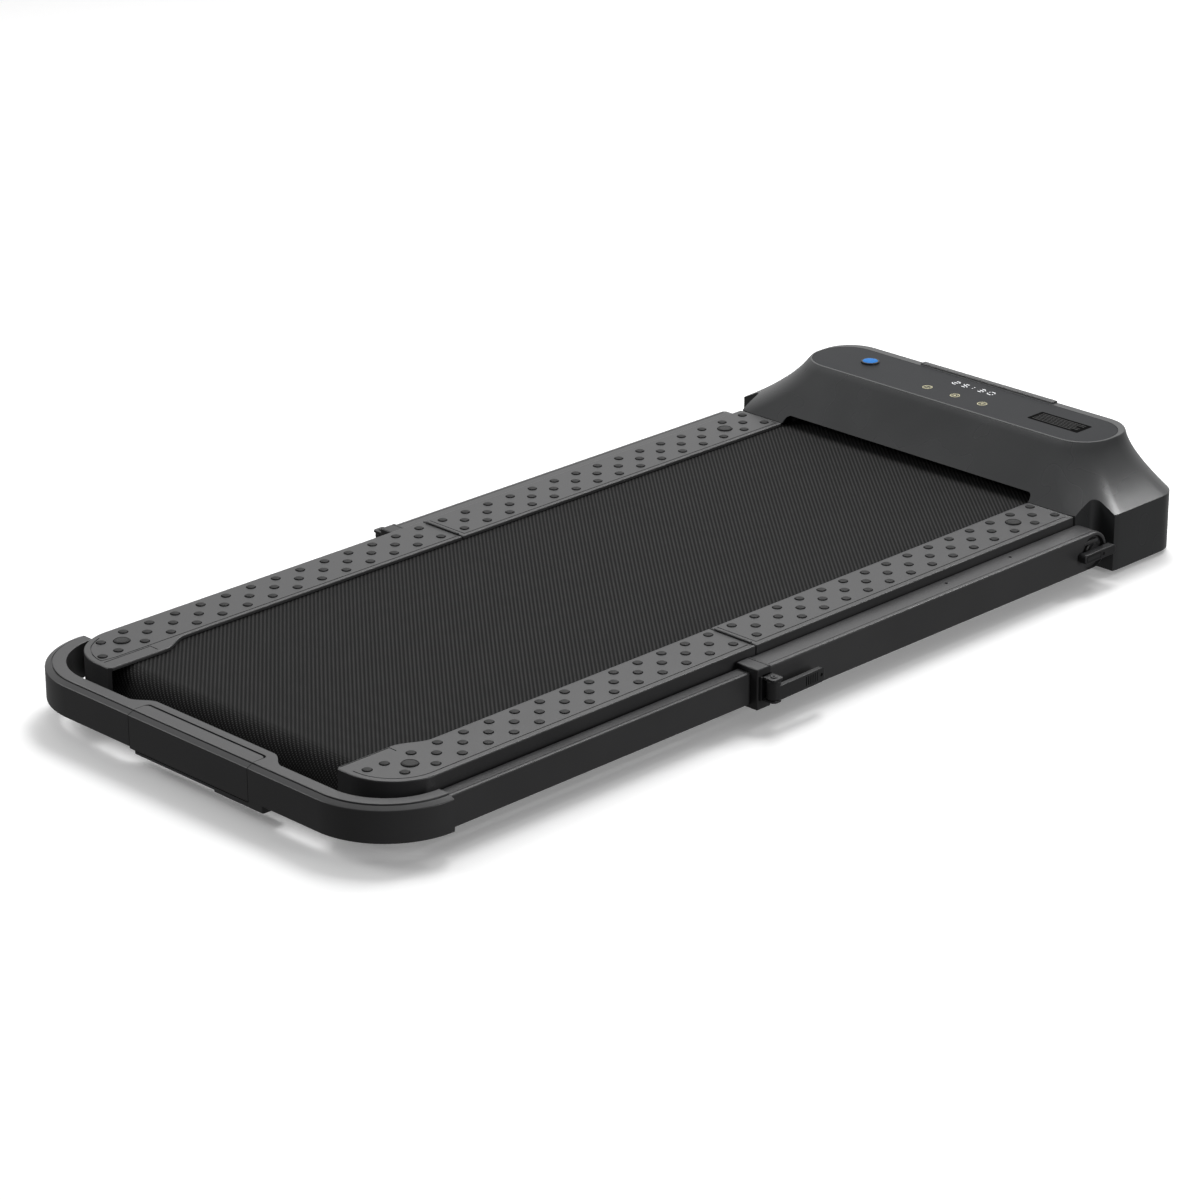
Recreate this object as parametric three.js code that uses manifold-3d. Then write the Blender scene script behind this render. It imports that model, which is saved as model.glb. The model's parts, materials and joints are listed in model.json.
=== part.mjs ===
// A folding walking treadmill: a belt deck in two halves that folds face to face, a motor hood at
// the front end, and a telescopic U handle that lies flat round the deck.
//
// Units are millimetres, +Z is up. X runs across the machine, and +Y runs along it towards the
// hood. Everything is drawn with Y measured from the fold seam and Z from the floor. The last
// lines shift the whole group, so that the origin is the middle of the base.

import * as THREE from 'three';
import { mergeVertices } from 'three/addons/utils/BufferGeometryUtils.js';
import Module from 'manifold-3d';

const wasm = await Module();
wasm.setup();

// ---------- driving dimensions ----------

const GAP = 0.3; // clearance between pieces that touch on the real machine

const Y_REAR = -651.5; // outer wall of the handle loop
const Y_FRONT = 798.5; // back wall of the hood

const RAIL_TOP = 85; // walking height of the foot rails
const RAIL_INNER_X = 222;
const RAIL_OUTER_X = 300;
const RAIL_PLATE = 4; // thickness of a rail's top plate and of its skirt
const RAIL_BOTTOM = 22;
const RAIL_END_Y = 613.5; // front rails meet the hood here
const REAR_END_Y = -601; // rear end of the rear rails
const REAR_CORNER_R = 71; // big outer corner of a rear rail
const BULGE_X = 204; // the rear rails widen inwards over the belt at the rear roller
const SEAM_HALF = 1.6; // half the gap between the front and the rear rails
const FOLD_AXIS_Z = RAIL_TOP + 1.5;

const BELT_TOP = 80;
const BELT_THICK = 2;
const BELT_HALF = 225;
const ROLLER_Z = 54;
const ROLLER_R = BELT_TOP - BELT_THICK - GAP - ROLLER_Z;
const FRONT_ROLLER_Y = 655;
const REAR_ROLLER_Y = -560;
const ROLLER_HALF = 228;
const AXLE_R = 8;
const LUG_THICK = 14;
const IDLER_Y = 24;
const IDLER_Z = 46;
const IDLER_R = 9.7;
const IDLER_PIN_R = 4;

const BOARD_TOP = BELT_TOP - BELT_THICK - GAP;
const BOARD_HALF = 286;
const BOARD_BOTTOM = BOARD_TOP - 12;

const BEAM_X0 = 232;
const BEAM_X1 = 290;
const BEAM_WALL = 2;
const BEAM_TOP = BOARD_BOTTOM - GAP;

const PAN_Z = 17;
const PAN_THICK = 3;

const HOOD_BOTTOM = 5.6;
const HOOD_TOP = 154;
const HOOD_WALL = 3.5;
const HOOD_SIDE_X = 336;
const HOOD_SIDE_Y = 657; // front edge of the hood's side walls, behind the arm ends
const HOOD_FRONT_Y = 614;
const HOOD_CORNER_R = 40;
const PANEL_FRONT_Y = 684; // the flat top of the hood
const PANEL_HALF = 263;
const PANEL_R = 50;
const LIP_Z = RAIL_TOP + 10; // lower edge of the hood over the belt

const PIVOT_Y = 609; // the handle turns here
const PIVOT_Z = 47;
const ARM_X0 = 302.8; // outer (front) tube of the handle
const ARM_X1 = 338.2;
const ARM_Z0 = 23.4;
const ARM_Z1 = 73.9;
const ARM_END_Y = 637;
const ARM_REAR_Y = -17;
const INNER_X0 = 306; // inner (rear) tube of the handle
const INNER_X1 = 327;
const INNER_Z0 = 26.7;
const INNER_Z1 = 68.3;
const INNER_FRONT_Y = 150;

const LOOP_X = 339; // outer wall of the handle loop
const LOOP_R = 110; // its corner radius
const LOOP_WIDTH = 26.5;
const LOOP_BULGE = 44; // width of the loop's middle part
const LOOP_Z0 = 29;
const LOOP_Z1 = 74.5;
const LOOP_WALL_TOP = 69.8;
const LOOP_CHAMFER = 9;
const LOOP_CAP_Y = Y_REAR + LOOP_R;
const FLAP_HALF = 108; // the device holder's flap in the loop's middle
const FLAP_WALL = 5;
const SLOT_Y = -622.5;
const HOLDER_Z0 = 20;
const HOLDER_X0 = -100;
const HOLDER_X1 = 134;

const COLLAR_Y0 = -45; // clamp collar, from here to the outer tube's end
const LEVER_X = 352; // upright pin of the collar's cam lever
const LEVER_Y = -24;

const WHEEL_X = 304;
const WHEEL_Y = 765;
const WHEEL_R = 20;
const STUB_R = 4;
const FLOOR_BOTTOM = 9; // floor of the hood
const FLOOR_TOP = 12;

const INLET = [-262, -232, 30, 54]; // x and z limits of the power inlet's hole in the back wall

const MOTOR_Y = 742;
const MOTOR_Z = 62;
const MOTOR_R = 36;
const PULLEY_X0 = 230;
const PULLEY_X1 = 246;
const ROLLER_PULLEY_R = 34;
const MOTOR_PULLEY_R = 13;
const MOTOR_SHAFT_R = 5;
const CRADLE_X0 = 90;
const CRADLE_X1 = 200;
const CRADLE_TOP = 44;

const CIRCUIT_Z0 = 24; // circuit board, and the top of it
const CIRCUIT_Z1 = 26;
const SWITCH_X0 = -210; // rocker switch beside the inlet
const SWITCH_X1 = -194;
const SWITCH_Z0 = 33;
const SWITCH_Z1 = 51;

// ---------- materials ----------

const paint = (color, roughness, metalness = 0) =>
  new THREE.MeshStandardMaterial({ color, roughness, metalness });

const MATERIAL = {
  casing: paint(0x3c3d3f, 0.5),
  rail: paint(0x6b6c6e, 0.6),
  belt: paint(0x1e1e1f, 0.9),
  frame: paint(0x222426, 0.45, 0.6),
  board: paint(0x8a6a48, 0.8),
  steel: paint(0xb4b6b8, 0.3, 1),
  arm: paint(0x55575a, 0.45, 0.5),
  grip: paint(0x242526, 0.55),
  rubber: paint(0x151515, 0.95),
  panel: paint(0x2c2d2f, 0.3),
  circuit: paint(0x1d5a38, 0.6),
};

// ---------- geometry helpers ----------

// A closed geometry as a solid for joining and cutting.
function solidOf(geometry) {
  const bare = geometry.clone();
  bare.deleteAttribute('normal');
  bare.deleteAttribute('uv');
  const merged = mergeVertices(bare, 1e-4);
  return new wasm.Manifold(new wasm.Mesh({
    numProp: 3,
    vertProperties: new Float32Array(merged.attributes.position.array),
    triVerts: new Uint32Array(merged.index.array),
  }));
}

function geometryOf(solid) {
  const mesh = solid.getMesh();
  const geometry = new THREE.BufferGeometry();
  geometry.setAttribute('position', new THREE.BufferAttribute(new Float32Array(mesh.vertProperties), 3));
  geometry.setIndex(new THREE.BufferAttribute(new Uint32Array(mesh.triVerts), 1));
  geometry.computeVertexNormals();
  return geometry;
}

const cut = (base, ...tools) =>
  geometryOf(tools.reduce((solid, tool) => solid.subtract(solidOf(tool)), solidOf(base)));

const join = (base, ...parts) =>
  geometryOf(parts.reduce((solid, part) => solid.add(solidOf(part)), solidOf(base)));

function block(x0, x1, y0, y1, z0, z1) {
  const box = new THREE.BoxGeometry(x1 - x0, y1 - y0, z1 - z0);
  return box.translate((x0 + x1) / 2, (y0 + y1) / 2, (z0 + z1) / 2);
}

function rodX(radius, x0, x1, y, z, sides = 24) {
  const rod = new THREE.CylinderGeometry(radius, radius, x1 - x0, sides);
  return rod.rotateZ(Math.PI / 2).translate((x0 + x1) / 2, y, z);
}

function rodZ(radius, z0, z1, x, y, sides = 20) {
  const rod = new THREE.CylinderGeometry(radius, radius, z1 - z0, sides);
  return rod.rotateX(Math.PI / 2).translate(x, y, (z0 + z1) / 2);
}

// A shape drawn in plan (x, y), from z0 up to z1.
function plate(shape, z0, z1, curveSegments = 8) {
  const options = { depth: z1 - z0, bevelEnabled: false, curveSegments };
  return new THREE.ExtrudeGeometry(shape, options).translate(0, 0, z0);
}

// A shape drawn from the side (y, z), from x0 to x1.
function sideExtrude(shape, x0, x1, curveSegments = 8) {
  const options = { depth: x1 - x0, bevelEnabled: false, curveSegments };
  const turn = new THREE.Matrix4().makeBasis(
    new THREE.Vector3(0, 1, 0),
    new THREE.Vector3(0, 0, 1),
    new THREE.Vector3(1, 0, 0),
  );
  return new THREE.ExtrudeGeometry(shape, options).applyMatrix4(turn).translate(x0, 0, 0);
}

// A shape drawn from the end (x, z), from y0 to y1.
function endExtrude(shape, y0, y1, curveSegments = 8) {
  const options = { depth: y1 - y0, bevelEnabled: false, curveSegments };
  const turn = new THREE.Matrix4().makeBasis(
    new THREE.Vector3(1, 0, 0),
    new THREE.Vector3(0, 0, 1),
    new THREE.Vector3(0, -1, 0),
  );
  return new THREE.ExtrudeGeometry(shape, options).applyMatrix4(turn).translate(0, y1, 0);
}

const polygon = (points) => new THREE.Shape(points.map(([x, y]) => new THREE.Vector2(x, y)));

function rectangle(x0, x1, y0, y1) {
  return polygon([[x0, y0], [x1, y0], [x1, y1], [x0, y1]]);
}

function roundedRectangle(x0, x1, y0, y1, r) {
  const shape = new THREE.Shape();
  shape.absarc(x1 - r, y0 + r, r, -Math.PI / 2, 0, false);
  shape.absarc(x1 - r, y1 - r, r, 0, Math.PI / 2, false);
  shape.absarc(x0 + r, y1 - r, r, Math.PI / 2, Math.PI, false);
  shape.absarc(x0 + r, y0 + r, r, Math.PI, Math.PI * 1.5, false);
  shape.closePath();
  return shape;
}

// A piece turned about an axis along X. The profile is a closed list of [x, radius]: out, along +X
// and back in.
function turnedX(profile, y, z, sides = 28) {
  const points = profile.map(([x, radius]) => new THREE.Vector2(radius, x));
  points.push(points[0].clone());
  const lathe = new THREE.LatheGeometry(points, sides);
  return lathe.rotateZ(-Math.PI / 2).translate(0, y, z);
}

// Rings with equal numbers of points, skinned and closed at both ends. outline is the ring's own
// flat outline, and each ring runs anticlockwise when it is seen from the last one.
function loft(rings, outline) {
  const count = rings[0].length;
  const positions = rings.flat().flatMap((point) => [point.x, point.y, point.z]);
  const triangles = [];
  for (let ring = 0; ring < rings.length - 1; ring += 1) {
    for (let i = 0; i < count; i += 1) {
      const a = ring * count + i;
      const b = ring * count + ((i + 1) % count);
      triangles.push(a, b, b + count, a, b + count, a + count);
    }
  }
  const last = (rings.length - 1) * count;
  for (const [a, b, c] of THREE.ShapeUtils.triangulateShape(outline, [])) {
    triangles.push(a, c, b, last + a, last + b, last + c);
  }
  const geometry = new THREE.BufferGeometry();
  geometry.setAttribute('position', new THREE.Float32BufferAttribute(positions, 3));
  geometry.setIndex(triangles);
  geometry.computeVertexNormals();
  return geometry;
}

// The same piece on the other side of the machine.
function mirrored(geometry) {
  const copy = geometry.index ? geometry.toNonIndexed() : geometry.clone();
  copy.applyMatrix4(new THREE.Matrix4().makeScale(-1, 1, 1));
  const position = copy.attributes.position;
  const corner = new THREE.Vector3();
  const other = new THREE.Vector3();
  for (let i = 0; i < position.count; i += 3) {
    corner.fromBufferAttribute(position, i + 1);
    other.fromBufferAttribute(position, i + 2);
    position.setXYZ(i + 1, other.x, other.y, other.z);
    position.setXYZ(i + 2, corner.x, corner.y, corner.z);
  }
  copy.computeVertexNormals();
  return copy;
}

const treadmill = new THREE.Group();

function add(name, geometry, material) {
  const mesh = new THREE.Mesh(geometry, material.clone());
  mesh.name = name;
  treadmill.add(mesh);
}

// A piece drawn on the right-hand side, and its twin on the left.
function addPair(name, geometry, material) {
  add(`${name}_right`, geometry, material);
  add(`${name}_left`, mirrored(geometry), material);
}

// ---------- foot rails ----------

function buildFrontRails() {
  const outline = rectangle(RAIL_INNER_X, RAIL_OUTER_X, SEAM_HALF, RAIL_END_Y);
  const inside = block(
    RAIL_INNER_X - 5, RAIL_OUTER_X - RAIL_PLATE,
    -5, RAIL_END_Y + 5,
    RAIL_BOTTOM - 5, RAIL_TOP - RAIL_PLATE,
  );
  const pivotNotch = block(
    RAIL_OUTER_X - 10, RAIL_OUTER_X + 5,
    PIVOT_Y - 11, RAIL_END_Y + 5,
    PIVOT_Z - 11, PIVOT_Z + 11,
  );
  addPair('front_rail', cut(plate(outline, RAIL_BOTTOM, RAIL_TOP), inside, pivotNotch), MATERIAL.rail);
}

// Plan outline of a rear rail, moved inwards by inset on its outer and rear sides.
function rearRailOutline(inset, innerX, bulgeX, seamY) {
  const shape = new THREE.Shape();
  const cornerX = RAIL_OUTER_X - REAR_CORNER_R;
  const cornerY = REAR_END_Y + REAR_CORNER_R;
  shape.moveTo(innerX, seamY);
  shape.lineTo(innerX, -462);
  shape.bezierCurveTo(innerX, -482, bulgeX, -488, bulgeX, -508);
  shape.lineTo(bulgeX, REAR_END_Y + 6 + inset);
  shape.lineTo(bulgeX + 6, REAR_END_Y + inset);
  shape.lineTo(cornerX, REAR_END_Y + inset);
  shape.absarc(cornerX, cornerY, REAR_CORNER_R - inset, -Math.PI / 2, 0, false);
  shape.lineTo(RAIL_OUTER_X - inset, seamY);
  shape.closePath();
  return shape;
}

function buildRearRails() {
  const body = plate(rearRailOutline(0, RAIL_INNER_X, BULGE_X, -SEAM_HALF), RAIL_BOTTOM, RAIL_TOP, 10);
  const hollow = rearRailOutline(RAIL_PLATE, RAIL_INNER_X - 25, BULGE_X - 7, 10);
  const inside = plate(hollow, RAIL_BOTTOM - 5, RAIL_TOP - RAIL_PLATE, 10);
  addPair('rear_rail', cut(body, inside), MATERIAL.rail);
}

// ---------- steel frame, boards and pans ----------

// One hollow side beam along Y, drawn on the right.
function sideBeam(y0, y1) {
  const section = rectangle(BEAM_X0, BEAM_X1, RAIL_BOTTOM, BEAM_TOP);
  section.holes.push(rectangle(
    BEAM_X0 + BEAM_WALL, BEAM_X1 - BEAM_WALL,
    RAIL_BOTTOM + BEAM_WALL, BEAM_TOP - BEAM_WALL,
  ));
  return endExtrude(section, y0, y1);
}

function buildBeams() {
  const lugBottom = 30;
  const frontEnd = RAIL_END_Y + 2.5;
  const axleHole = AXLE_R + GAP;
  const idlerHole = IDLER_PIN_R + GAP;
  const frontLug = block(BEAM_X1 - 10, BEAM_X1, frontEnd - 18, FRONT_ROLLER_Y + 45, lugBottom, BEAM_TOP);
  const front = cut(
    join(sideBeam(2, frontEnd), frontLug),
    rodX(axleHole, BEAM_X1 - 15, BEAM_X1 + 5, FRONT_ROLLER_Y, ROLLER_Z),
    rodX(idlerHole, BEAM_X0 - 5, BEAM_X0 + 8, IDLER_Y, IDLER_Z, 16),
    rodX(AXLE_R, BEAM_X1 - 18, BEAM_X1 + 5, PIVOT_Y, PIVOT_Z),
  );
  addPair('front_beam', front, MATERIAL.frame);

  const rearEnd = -535;
  const rearLug = block(BEAM_X0, BEAM_X0 + LUG_THICK, REAR_ROLLER_Y - 22, rearEnd + 15, lugBottom, BEAM_TOP);
  const rear = cut(
    join(sideBeam(rearEnd, -2), rearLug),
    rodX(axleHole, BEAM_X0 - 5, BEAM_X0 + 20, REAR_ROLLER_Y, ROLLER_Z),
    rodX(idlerHole, BEAM_X0 - 5, BEAM_X0 + 8, -IDLER_Y, IDLER_Z, 16),
  );
  addPair('rear_beam', rear, MATERIAL.frame);
}

function crossMember(y0, y1) {
  const z0 = 36;
  const z1 = 62;
  const section = rectangle(y0, y1, z0, z1);
  section.holes.push(rectangle(y0 + BEAM_WALL, y1 - BEAM_WALL, z0 + BEAM_WALL, z1 - BEAM_WALL));
  return sideExtrude(section, -BEAM_X0 + GAP, BEAM_X0 - GAP);
}

function buildDeck() {
  add('front_crossmember', crossMember(290, 330), MATERIAL.frame);
  add('rear_crossmember', crossMember(-300, -260), MATERIAL.frame);
  const board = (y0, y1) => block(-BOARD_HALF, BOARD_HALF, y0, y1, BOARD_BOTTOM, BOARD_TOP);
  const pan = (half, y0, y1) => block(-half, half, y0, y1, PAN_Z, PAN_Z + PAN_THICK);
  add('front_deck_board', board(3, RAIL_END_Y - 1.5), MATERIAL.board);
  add('rear_deck_board', board(-528, -3), MATERIAL.board);
  add('front_belly_pan', pan(BEAM_X1, 4, RAIL_END_Y - 3.5), MATERIAL.casing);
  add('rear_belly_pan', pan(BEAM_X1 - 2, -548, -4), MATERIAL.casing);
}

// Steel hinge leaves stand in the seam and meet the hinge pin between the rails.
function buildFoldHinge() {
  const leaf = (y0, y1) => block(236, BOARD_HALF, y0, y1, 30, RAIL_TOP - 0.4);
  const pinR = 1.2;
  addPair('fold_leaf_front', leaf(0.3, 1.3), MATERIAL.steel);
  addPair('fold_leaf_rear', leaf(-1.3, -0.3), MATERIAL.steel);
  addPair('fold_pin', rodX(pinR, 230, 292, 0, FOLD_AXIS_Z, 10), MATERIAL.frame);
}

// ---------- walking belt and rollers ----------

// Half of the belt, as a strip seen from the side. Near the seam the lower run climbs over the
// idler, so that it stays close to the fold axis. side is +1 for the front half, -1 for the rear.
function beltHalf(side, rollerY) {
  const outer = ROLLER_R + GAP + BELT_THICK;
  const inner = ROLLER_R + GAP;
  const reach = Math.abs(rollerY);
  const steps = 12;
  const seam = GAP / 2;
  const low = ROLLER_Z - outer;
  const idlerTop = IDLER_Z + IDLER_R + GAP;
  const path = [[seam, BELT_TOP]];
  for (let i = 0; i <= steps; i += 1) {
    const angle = Math.PI / 2 - (Math.PI * i) / steps;
    path.push([reach + outer * Math.cos(angle), ROLLER_Z + outer * Math.sin(angle)]);
  }
  path.push([66, low], [38, idlerTop], [seam, idlerTop]);
  path.push([seam, idlerTop + BELT_THICK], [39, idlerTop + BELT_THICK], [67, low + BELT_THICK]);
  for (let i = steps; i >= 0; i -= 1) {
    const angle = Math.PI / 2 - (Math.PI * i) / steps;
    path.push([reach + inner * Math.cos(angle), ROLLER_Z + inner * Math.sin(angle)]);
  }
  path.push([seam, BELT_TOP - BELT_THICK]);
  return sideExtrude(polygon(path.map(([y, z]) => [side * y, z])), -BELT_HALF, BELT_HALF);
}

function buildBelt() {
  add('belt_front', beltHalf(1, FRONT_ROLLER_Y), MATERIAL.belt);
  add('belt_rear', beltHalf(-1, REAR_ROLLER_Y), MATERIAL.belt);
}

// A hollow roller's inner outline: the bore through both end plates, and the wide space between.
const rollerInside = (half, bore, wall) => [
  [half, bore], [ROLLER_HALF - 8, bore], [ROLLER_HALF - 8, ROLLER_R - wall],
  [-ROLLER_HALF + 8, ROLLER_R - wall], [-ROLLER_HALF + 8, bore], [-ROLLER_HALF, bore],
];

function buildRollers() {
  const bore = AXLE_R + GAP;
  const wall = 3;
  const frontProfile = [
    [-ROLLER_HALF, ROLLER_R], [PULLEY_X0, ROLLER_R],
    [PULLEY_X0, ROLLER_PULLEY_R], [PULLEY_X1, ROLLER_PULLEY_R],
    ...rollerInside(PULLEY_X1, bore, wall),
  ];
  const rearProfile = [
    [-ROLLER_HALF, ROLLER_R], [ROLLER_HALF, ROLLER_R],
    ...rollerInside(ROLLER_HALF, bore, wall),
  ];
  add('front_roller', turnedX(frontProfile, FRONT_ROLLER_Y, ROLLER_Z), MATERIAL.steel);
  add('rear_roller', turnedX(rearProfile, REAR_ROLLER_Y, ROLLER_Z), MATERIAL.steel);
  const axle = (half, y) => rodX(AXLE_R, -half, half, y, ROLLER_Z);
  add('front_roller_axle', axle(BEAM_X1, FRONT_ROLLER_Y), MATERIAL.steel);
  add('rear_roller_axle', axle(BEAM_X0 + LUG_THICK, REAR_ROLLER_Y), MATERIAL.steel);

  const idlerHalf = ROLLER_HALF - 2;
  const idler = (y) => join(
    rodX(IDLER_R, -idlerHalf, idlerHalf, y, IDLER_Z, 18),
    rodX(IDLER_PIN_R, -BEAM_X0 - 2, BEAM_X0 + 2, y, IDLER_Z, 12),
  );
  add('front_idler', idler(IDLER_Y), MATERIAL.steel);
  add('rear_idler', idler(-IDLER_Y), MATERIAL.steel);
}

// ---------- motor and electrics ----------

// The outline of a belt round two pulleys, drawn from the side.
function beltLoop(bigR, smallR, bigY, bigZ, smallY, smallZ) {
  const distance = Math.hypot(smallY - bigY, smallZ - bigZ);
  const heading = Math.atan2(smallZ - bigZ, smallY - bigY);
  const spread = Math.acos((bigR - smallR) / distance);
  const points = [];
  const steps = 24;
  for (let i = 0; i <= steps; i += 1) {
    const angle = heading + spread + ((Math.PI - spread) * 2 * i) / steps;
    points.push([bigY + bigR * Math.cos(angle), bigZ + bigR * Math.sin(angle)]);
  }
  for (let i = 0; i <= steps; i += 1) {
    const angle = heading - spread + (spread * 2 * i) / steps;
    points.push([smallY + smallR * Math.cos(angle), smallZ + smallR * Math.sin(angle)]);
  }
  return points;
}

function buildDrive() {
  const body = join(
    rodX(MOTOR_R, 70, 214, MOTOR_Y, MOTOR_Z, 32),
    rodX(MOTOR_R - 8, 62, 222, MOTOR_Y, MOTOR_Z, 32),
  );
  const shaftHole = rodX(MOTOR_SHAFT_R + GAP, 200, 230, MOTOR_Y, MOTOR_Z, 16);
  add('motor_body', cut(body, shaftHole), MATERIAL.frame);

  const rotor = join(
    rodX(MOTOR_SHAFT_R, 204, PULLEY_X1, MOTOR_Y, MOTOR_Z, 16),
    rodX(MOTOR_PULLEY_R, PULLEY_X0, PULLEY_X1, MOTOR_Y, MOTOR_Z, 24),
  );
  add('motor_rotor', rotor, MATERIAL.steel);

  const cradle = cut(
    block(CRADLE_X0, CRADLE_X1, MOTOR_Y - 28, MOTOR_Y + 28, FLOOR_TOP + GAP, CRADLE_TOP),
    rodX(MOTOR_R + GAP, CRADLE_X0 - 10, CRADLE_X1 + 10, MOTOR_Y, MOTOR_Z, 32),
  );
  add('motor_bracket', cradle, MATERIAL.frame);

  const outline = (extra) => polygon(beltLoop(
    ROLLER_PULLEY_R + 2 * GAP + extra, MOTOR_PULLEY_R + 2 * GAP + extra,
    FRONT_ROLLER_Y, ROLLER_Z, MOTOR_Y, MOTOR_Z,
  ));
  const ring = cut(
    sideExtrude(outline(2), PULLEY_X0 + 1, PULLEY_X1 - 1),
    sideExtrude(outline(0), PULLEY_X0 - 1, PULLEY_X1 + 1),
  );
  add('drive_belt', ring, MATERIAL.rubber);
}

function buildElectrics() {
  const sunk = CIRCUIT_Z1 - 1; // each component's foot goes this far into the board
  const capacitor = (x) => rodZ(11, sunk, 58, x, MOTOR_Y - 2);
  const board = join(
    block(-210, -50, 700, 776, CIRCUIT_Z0, CIRCUIT_Z1),
    block(-200, -140, 706, 726, sunk, 52),
    capacitor(-100),
    capacitor(-74),
    block(-190, -130, 740, 764, sunk, 40),
  );
  add('control_board', board, MATERIAL.circuit);

  const wallInner = Y_FRONT - HOOD_WALL;
  const [x0, x1, z0, z1] = INLET;
  const flange = 7;
  const socket = join(
    block(x0 + GAP, x1 - GAP, wallInner - 22, Y_FRONT - 1, z0 + GAP, z1 - GAP),
    block(x0 - flange, x1 + flange, wallInner - 4, wallInner - GAP, z0 - 4, z1 + 4),
  );
  const wall = 2.5;
  const cavity = block(x0 + wall, x1 - wall, wallInner - 18, Y_FRONT + 1, z0 + wall + 1, z1 - wall - 1);
  add('power_inlet', cut(socket, cavity), MATERIAL.grip);

  const rocker = new THREE.Shape();
  rocker.moveTo(wallInner - 10, SWITCH_Z0);
  rocker.lineTo(Y_FRONT - 3.4, SWITCH_Z0);
  rocker.lineTo(Y_FRONT - 1.4, (SWITCH_Z0 + SWITCH_Z1) / 2);
  rocker.lineTo(Y_FRONT - 3.4, SWITCH_Z1);
  rocker.lineTo(wallInner - 10, SWITCH_Z1);
  rocker.closePath();
  add('power_switch', sideExtrude(rocker, SWITCH_X0, SWITCH_X1), MATERIAL.rubber);
}

// ---------- hood ----------

const arcPoints = (cx, cy, r, from, to, steps) => {
  const points = [];
  for (let i = 0; i <= steps; i += 1) {
    const angle = from + ((to - from) * i) / steps;
    points.push([cx + r * Math.cos(angle), cy + r * Math.sin(angle)]);
  }
  return points;
};

const linePoints = (x0, y0, x1, y1, steps) => {
  const points = [];
  for (let i = 0; i < steps; i += 1) {
    points.push([x0 + ((x1 - x0) * i) / steps, y0 + ((y1 - y0) * i) / steps]);
  }
  return points;
};

// Right half of the hood's plan at rail height: straight front, recess for the arm's end, side
// wall, round back corner. inset moves every wall inwards.
function hoodBaseHalf(inset) {
  const front = HOOD_FRONT_Y + inset;
  const recessX = RAIL_OUTER_X - inset;
  const sideX = HOOD_SIDE_X - inset;
  const back = Y_FRONT - inset;
  const fillet = 12;
  const cornerR = HOOD_CORNER_R - inset;
  return [
    ...linePoints(0, front, recessX, front, 5),
    ...linePoints(recessX, front, recessX, HOOD_SIDE_Y - 9 + inset, 2),
    ...arcPoints(recessX + fillet, HOOD_SIDE_Y - 9 + inset, fillet, Math.PI, Math.PI / 2, 4),
    ...linePoints(sideX, HOOD_SIDE_Y + inset, sideX, back - cornerR, 3),
    ...arcPoints(sideX - cornerR, back - cornerR, cornerR, 0, Math.PI / 2, 6),
    ...linePoints(sideX - cornerR - 60, back, 0, back, 3),
  ];
}

// Right half of the hood's flat top, with the same number of points in the same order.
function hoodTopHalf(inset) {
  const front = PANEL_FRONT_Y + inset;
  const halfX = PANEL_HALF - inset;
  const back = Y_FRONT - inset;
  const r = PANEL_R - inset;
  return [
    ...linePoints(0, front, halfX - r, front, 5),
    ...arcPoints(halfX - r, front + r, r, -Math.PI / 2, -0.25, 6),
    ...linePoints(halfX, front + r, halfX, back - r, 4).slice(0, 4),
    ...arcPoints(halfX - r, back - r, r, 0, Math.PI / 2, 6),
    ...linePoints(halfX - r - 40, back, 0, back, 3),
  ];
}

// A full ring at height z. spread is 0 at the flat top and 1 at rail height: the front falls in a
// straight slope, and the sides flare out towards the bottom.
function hoodRing(z, spread, inset) {
  const base = hoodBaseHalf(inset);
  const top = hoodTopHalf(inset);
  const flare = spread ** 1.6;
  const half = base.map(([x, y], i) => new THREE.Vector3(
    top[i][0] + (x - top[i][0]) * flare,
    top[i][1] + (y - top[i][1]) * spread,
    z,
  ));
  const otherHalf = half.slice(1).reverse().map((p) => new THREE.Vector3(-p.x, p.y, p.z));
  const closing = new THREE.Vector3(0, half.at(-1).y, z);
  return [...half, closing, ...otherHalf];
}

function hoodBody(inset, bottom) {
  const top = HOOD_TOP - inset;
  const rings = [hoodRing(bottom, 1, inset), hoodRing(RAIL_TOP, 1, inset)];
  const steps = 5;
  for (let i = 1; i <= steps; i += 1) {
    const spread = 1 - i / steps;
    rings.push(hoodRing(RAIL_TOP + (top - RAIL_TOP) * (1 - spread), spread, inset));
  }
  return loft(rings, rings[0].map((point) => new THREE.Vector2(point.x, point.y)));
}

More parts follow.
